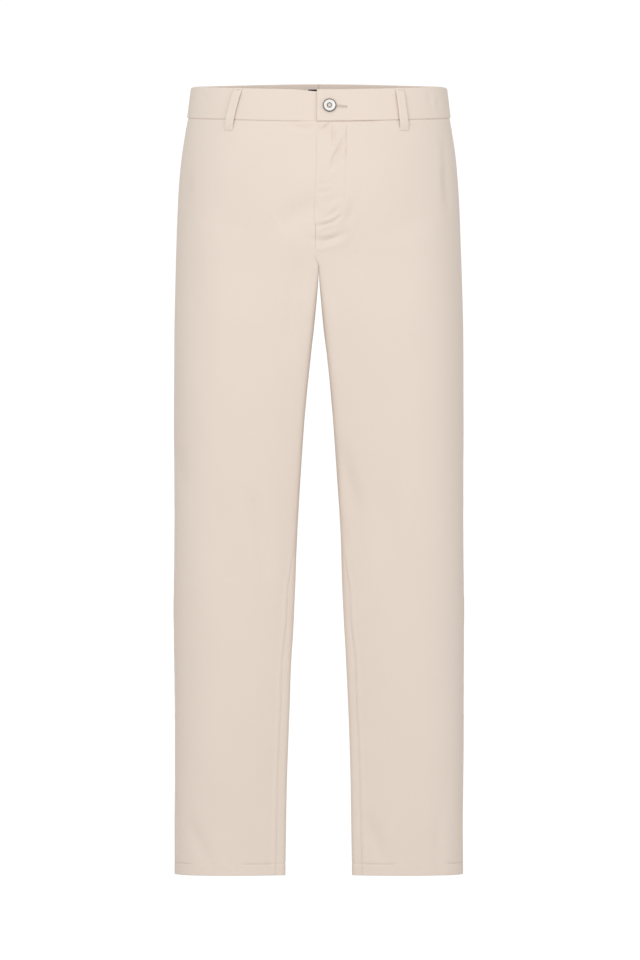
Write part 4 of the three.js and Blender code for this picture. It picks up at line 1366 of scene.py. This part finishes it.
def tack(side, t, z, out, width, height):
    """A bar tack: a short dense block of stitches across a line."""
    made = []
    for share in np.linspace(-0.5, 0.5, max(3, int(height / 0.42))):
        row_z = np.array([z + share * height] * 2)
        row_t = t + front_step(row_z, np.array([-width / 2, width / 2]))
        a, b = body_point(side, row_t, row_z, out)
        outward = plain_normal(row_t, row_z)[0] * np.array([side, 1, 1])
        made.append(capsule(a, b, STITCH["radius"], outward))
    return made


def sewn(name, made, slot="linen"):
    fit(joined(name, made, THREAD), slot)


def fly_stitches():
    route = np.array(J_STITCH, float)
    run = run_along(route)
    x, z = at_lengths(route, run, np.linspace(0, run[-1], 90)).T
    t = t_at_x(0, np.maximum(x, 0.05), z)
    out = fly_out(1, plain_point(t, z)[..., 0], z) - 0.1
    sewn("stitches_fly", stitch_row(1, t, z, out))


def buttonhole_stitches():
    """Close upright stitches along both edges of the slit, and a bar at its outer end."""
    out = BAND_OUT + LAP_RISE + 0.36
    made = []
    for x in np.arange(HOLE["from"] - 0.3, HOLE["to"] + 0.9, 0.62):
        inside = x < HOLE["to"] + 0.1
        for flip in (1, -1):
            reach = np.array([HOLE["gape"] / 2 if inside else 0.0, 1.9]) * flip
            t = waist_step(np.array([x, x]))
            a, b = body_point(1, t, hole_z(x) + reach, out)
            made.append(capsule(a, b, 0.22, plain_normal(t, hole_z(x) + reach)[0]))
    sewn("stitches_buttonhole", made)


def hem_stitches(side, hand):
    t = np.linspace(0.004, 0.996, 400)
    z = np.full(t.shape, HEM_Z + HEM_STITCH)
    sunk = 0.12 + 0.3 * (1 - hem_drawn(t))
    sewn(f"stitches_hem_{hand}", stitch_row(side, t, z, -sunk))


def pocket_tacks(side, hand):
    made = []
    for z in (-36.0, -150.0):
        t = float(pocket_mouth_t(z)) - float(front_step(z, 2.2))
        made += tack(side, t, z, 0.15 + POCKET_GAPE * 0.2, 4.2, 2.2)
    sewn(f"stitches_pocket_{hand}", made)


def loop_tacks(name, side, face, top, bottom):
    made = []
    for share, x in ((0.06, top), (0.94, bottom)):
        t = float(t_at_x(face, np.array([float(x)]), WAIST_Z)[0])
        high, low = edge_height(BAND_TOP, t), edge_height(BAND_SEAM, t) - LOOP["below"]
        out = LOOP["wall"] + LOOP["end_gap"] + (BAND_OUT if share < 0.5 else 0) + 0.3
        made += tack(side, t, mix(high, low, share), out, 8.6, 1.8)
    sewn(f"stitches_{name}", made)


def button_thread(seat):
    pitch, top = BUTTON["pitch"], BUTTON["thick"] * 0.62
    made = []
    for k in range(3):
        shift = (k - 1) * 0.34
        for flip in (1, -1):
            ends = np.array([(-pitch, -pitch * flip, top), (pitch, pitch * flip, top)])
            ends[:, 0] += shift * flip
            ends[:, 1] -= shift
            made.append(capsule(*placed(ends, seat), 0.24, seat[3]))
    sewn("thread_button", made, "button")


fly_stitches()
buttonhole_stitches()
button_thread(BUTTON_SEAT)
for side, hand in HANDS:
    hem_stitches(side, hand)
    pocket_tacks(side, hand)
for name, row in LOOPS.items():
    loop_tacks(name, *row)

# %% [markdown]


# %% [markdown]
# ## Studio
# Pale cloth on white needs large, soft lights, or its folds turn harsh. A big key from the front
# and above, a weaker fill from the other side and an even white sky do most of it. A faint lamp
# from above and one low at the side help. The sky shows brighter to the camera than it lights,
# so that the ground stays pure white while the cloth keeps its tone.

# %% Sky, lamps and floor
SKY_LIGHT, SKY_SEEN = 0.68, 1.05
FLOOR_Z = -1.3


def make_sky():
    world = bpy.data.worlds.new("white_sky")
    world.use_nodes = True
    nodes, links = world.node_tree.nodes, world.node_tree.links
    sky, seen = nodes["Background"], nodes.new("ShaderNodeBackground")
    for node, strength in ((sky, SKY_LIGHT), (seen, SKY_SEEN)):
        node.inputs["Color"].default_value = (1, 1, 1, 1)
        node.inputs["Strength"].default_value = strength
    path = nodes.new("ShaderNodeLightPath")
    choose = nodes.new("ShaderNodeMixShader")
    links.new(path.outputs["Is Camera Ray"], choose.inputs[0])
    links.new(sky.outputs[0], choose.inputs[1])
    links.new(seen.outputs[0], choose.inputs[2])
    links.new(choose.outputs[0], nodes["World Output"].inputs["Surface"])
    bpy.context.scene.world = world


def soft_lamp(name, place, aim, size, watts, colour):
    data = bpy.data.lights.new(name, "AREA")
    data.shape = "RECTANGLE"
    data.size, data.size_y = size
    data.energy = watts
    data.color = colour
    lamp = add_object(name, data)
    lamp.location = place
    lamp.rotation_euler = (Vector(aim) - Vector(place)).to_track_quat("-Z", "Y").to_euler()


def make_floor():
    corners = [(2 * a, 2 * b, FLOOR_Z) for a, b in ((-1, -1), (1, -1), (1, 1), (-1, 1))]
    mesh = bpy.data.meshes.new("studio_floor")
    mesh.from_pydata(corners, [], [(0, 1, 2, 3)])
    finish = Finish("floor_paint")
    cloudy = finish.noise(finish.place(), 1.5)
    colour = finish.blend((0.64, 0.62, 0.6, 1), (0.68, 0.66, 0.64, 1), cloudy)
    mesh.materials.append(finish.done(Base_Color=colour, Roughness=0.9))
    add_object("studio_floor", mesh)


make_sky()
make_floor()
soft_lamp("key", (-1.45, -3.6, 1.0), (0, 0, -0.4), (2.4, 2.4), 55, (1.0, 0.99, 0.975))
soft_lamp("fill", (2.6, -3.2, 0.6), (0, 0, -0.4), (2.4, 2.4), 24, (1.0, 0.985, 0.965))
soft_lamp("top", (0.0, -1.8, 2.4), (0, 0.1, 0.0), (2.0, 1.4), 2.5, (1.0, 0.98, 0.96))
soft_lamp("edge", (3.4, -2.1, -0.8), (0, 0, -0.65), (1.6, 2.2), 6, (1.0, 0.985, 0.97))
bpy.context.scene.view_settings.view_transform = "Standard"
print(len(PIECES), "pieces")
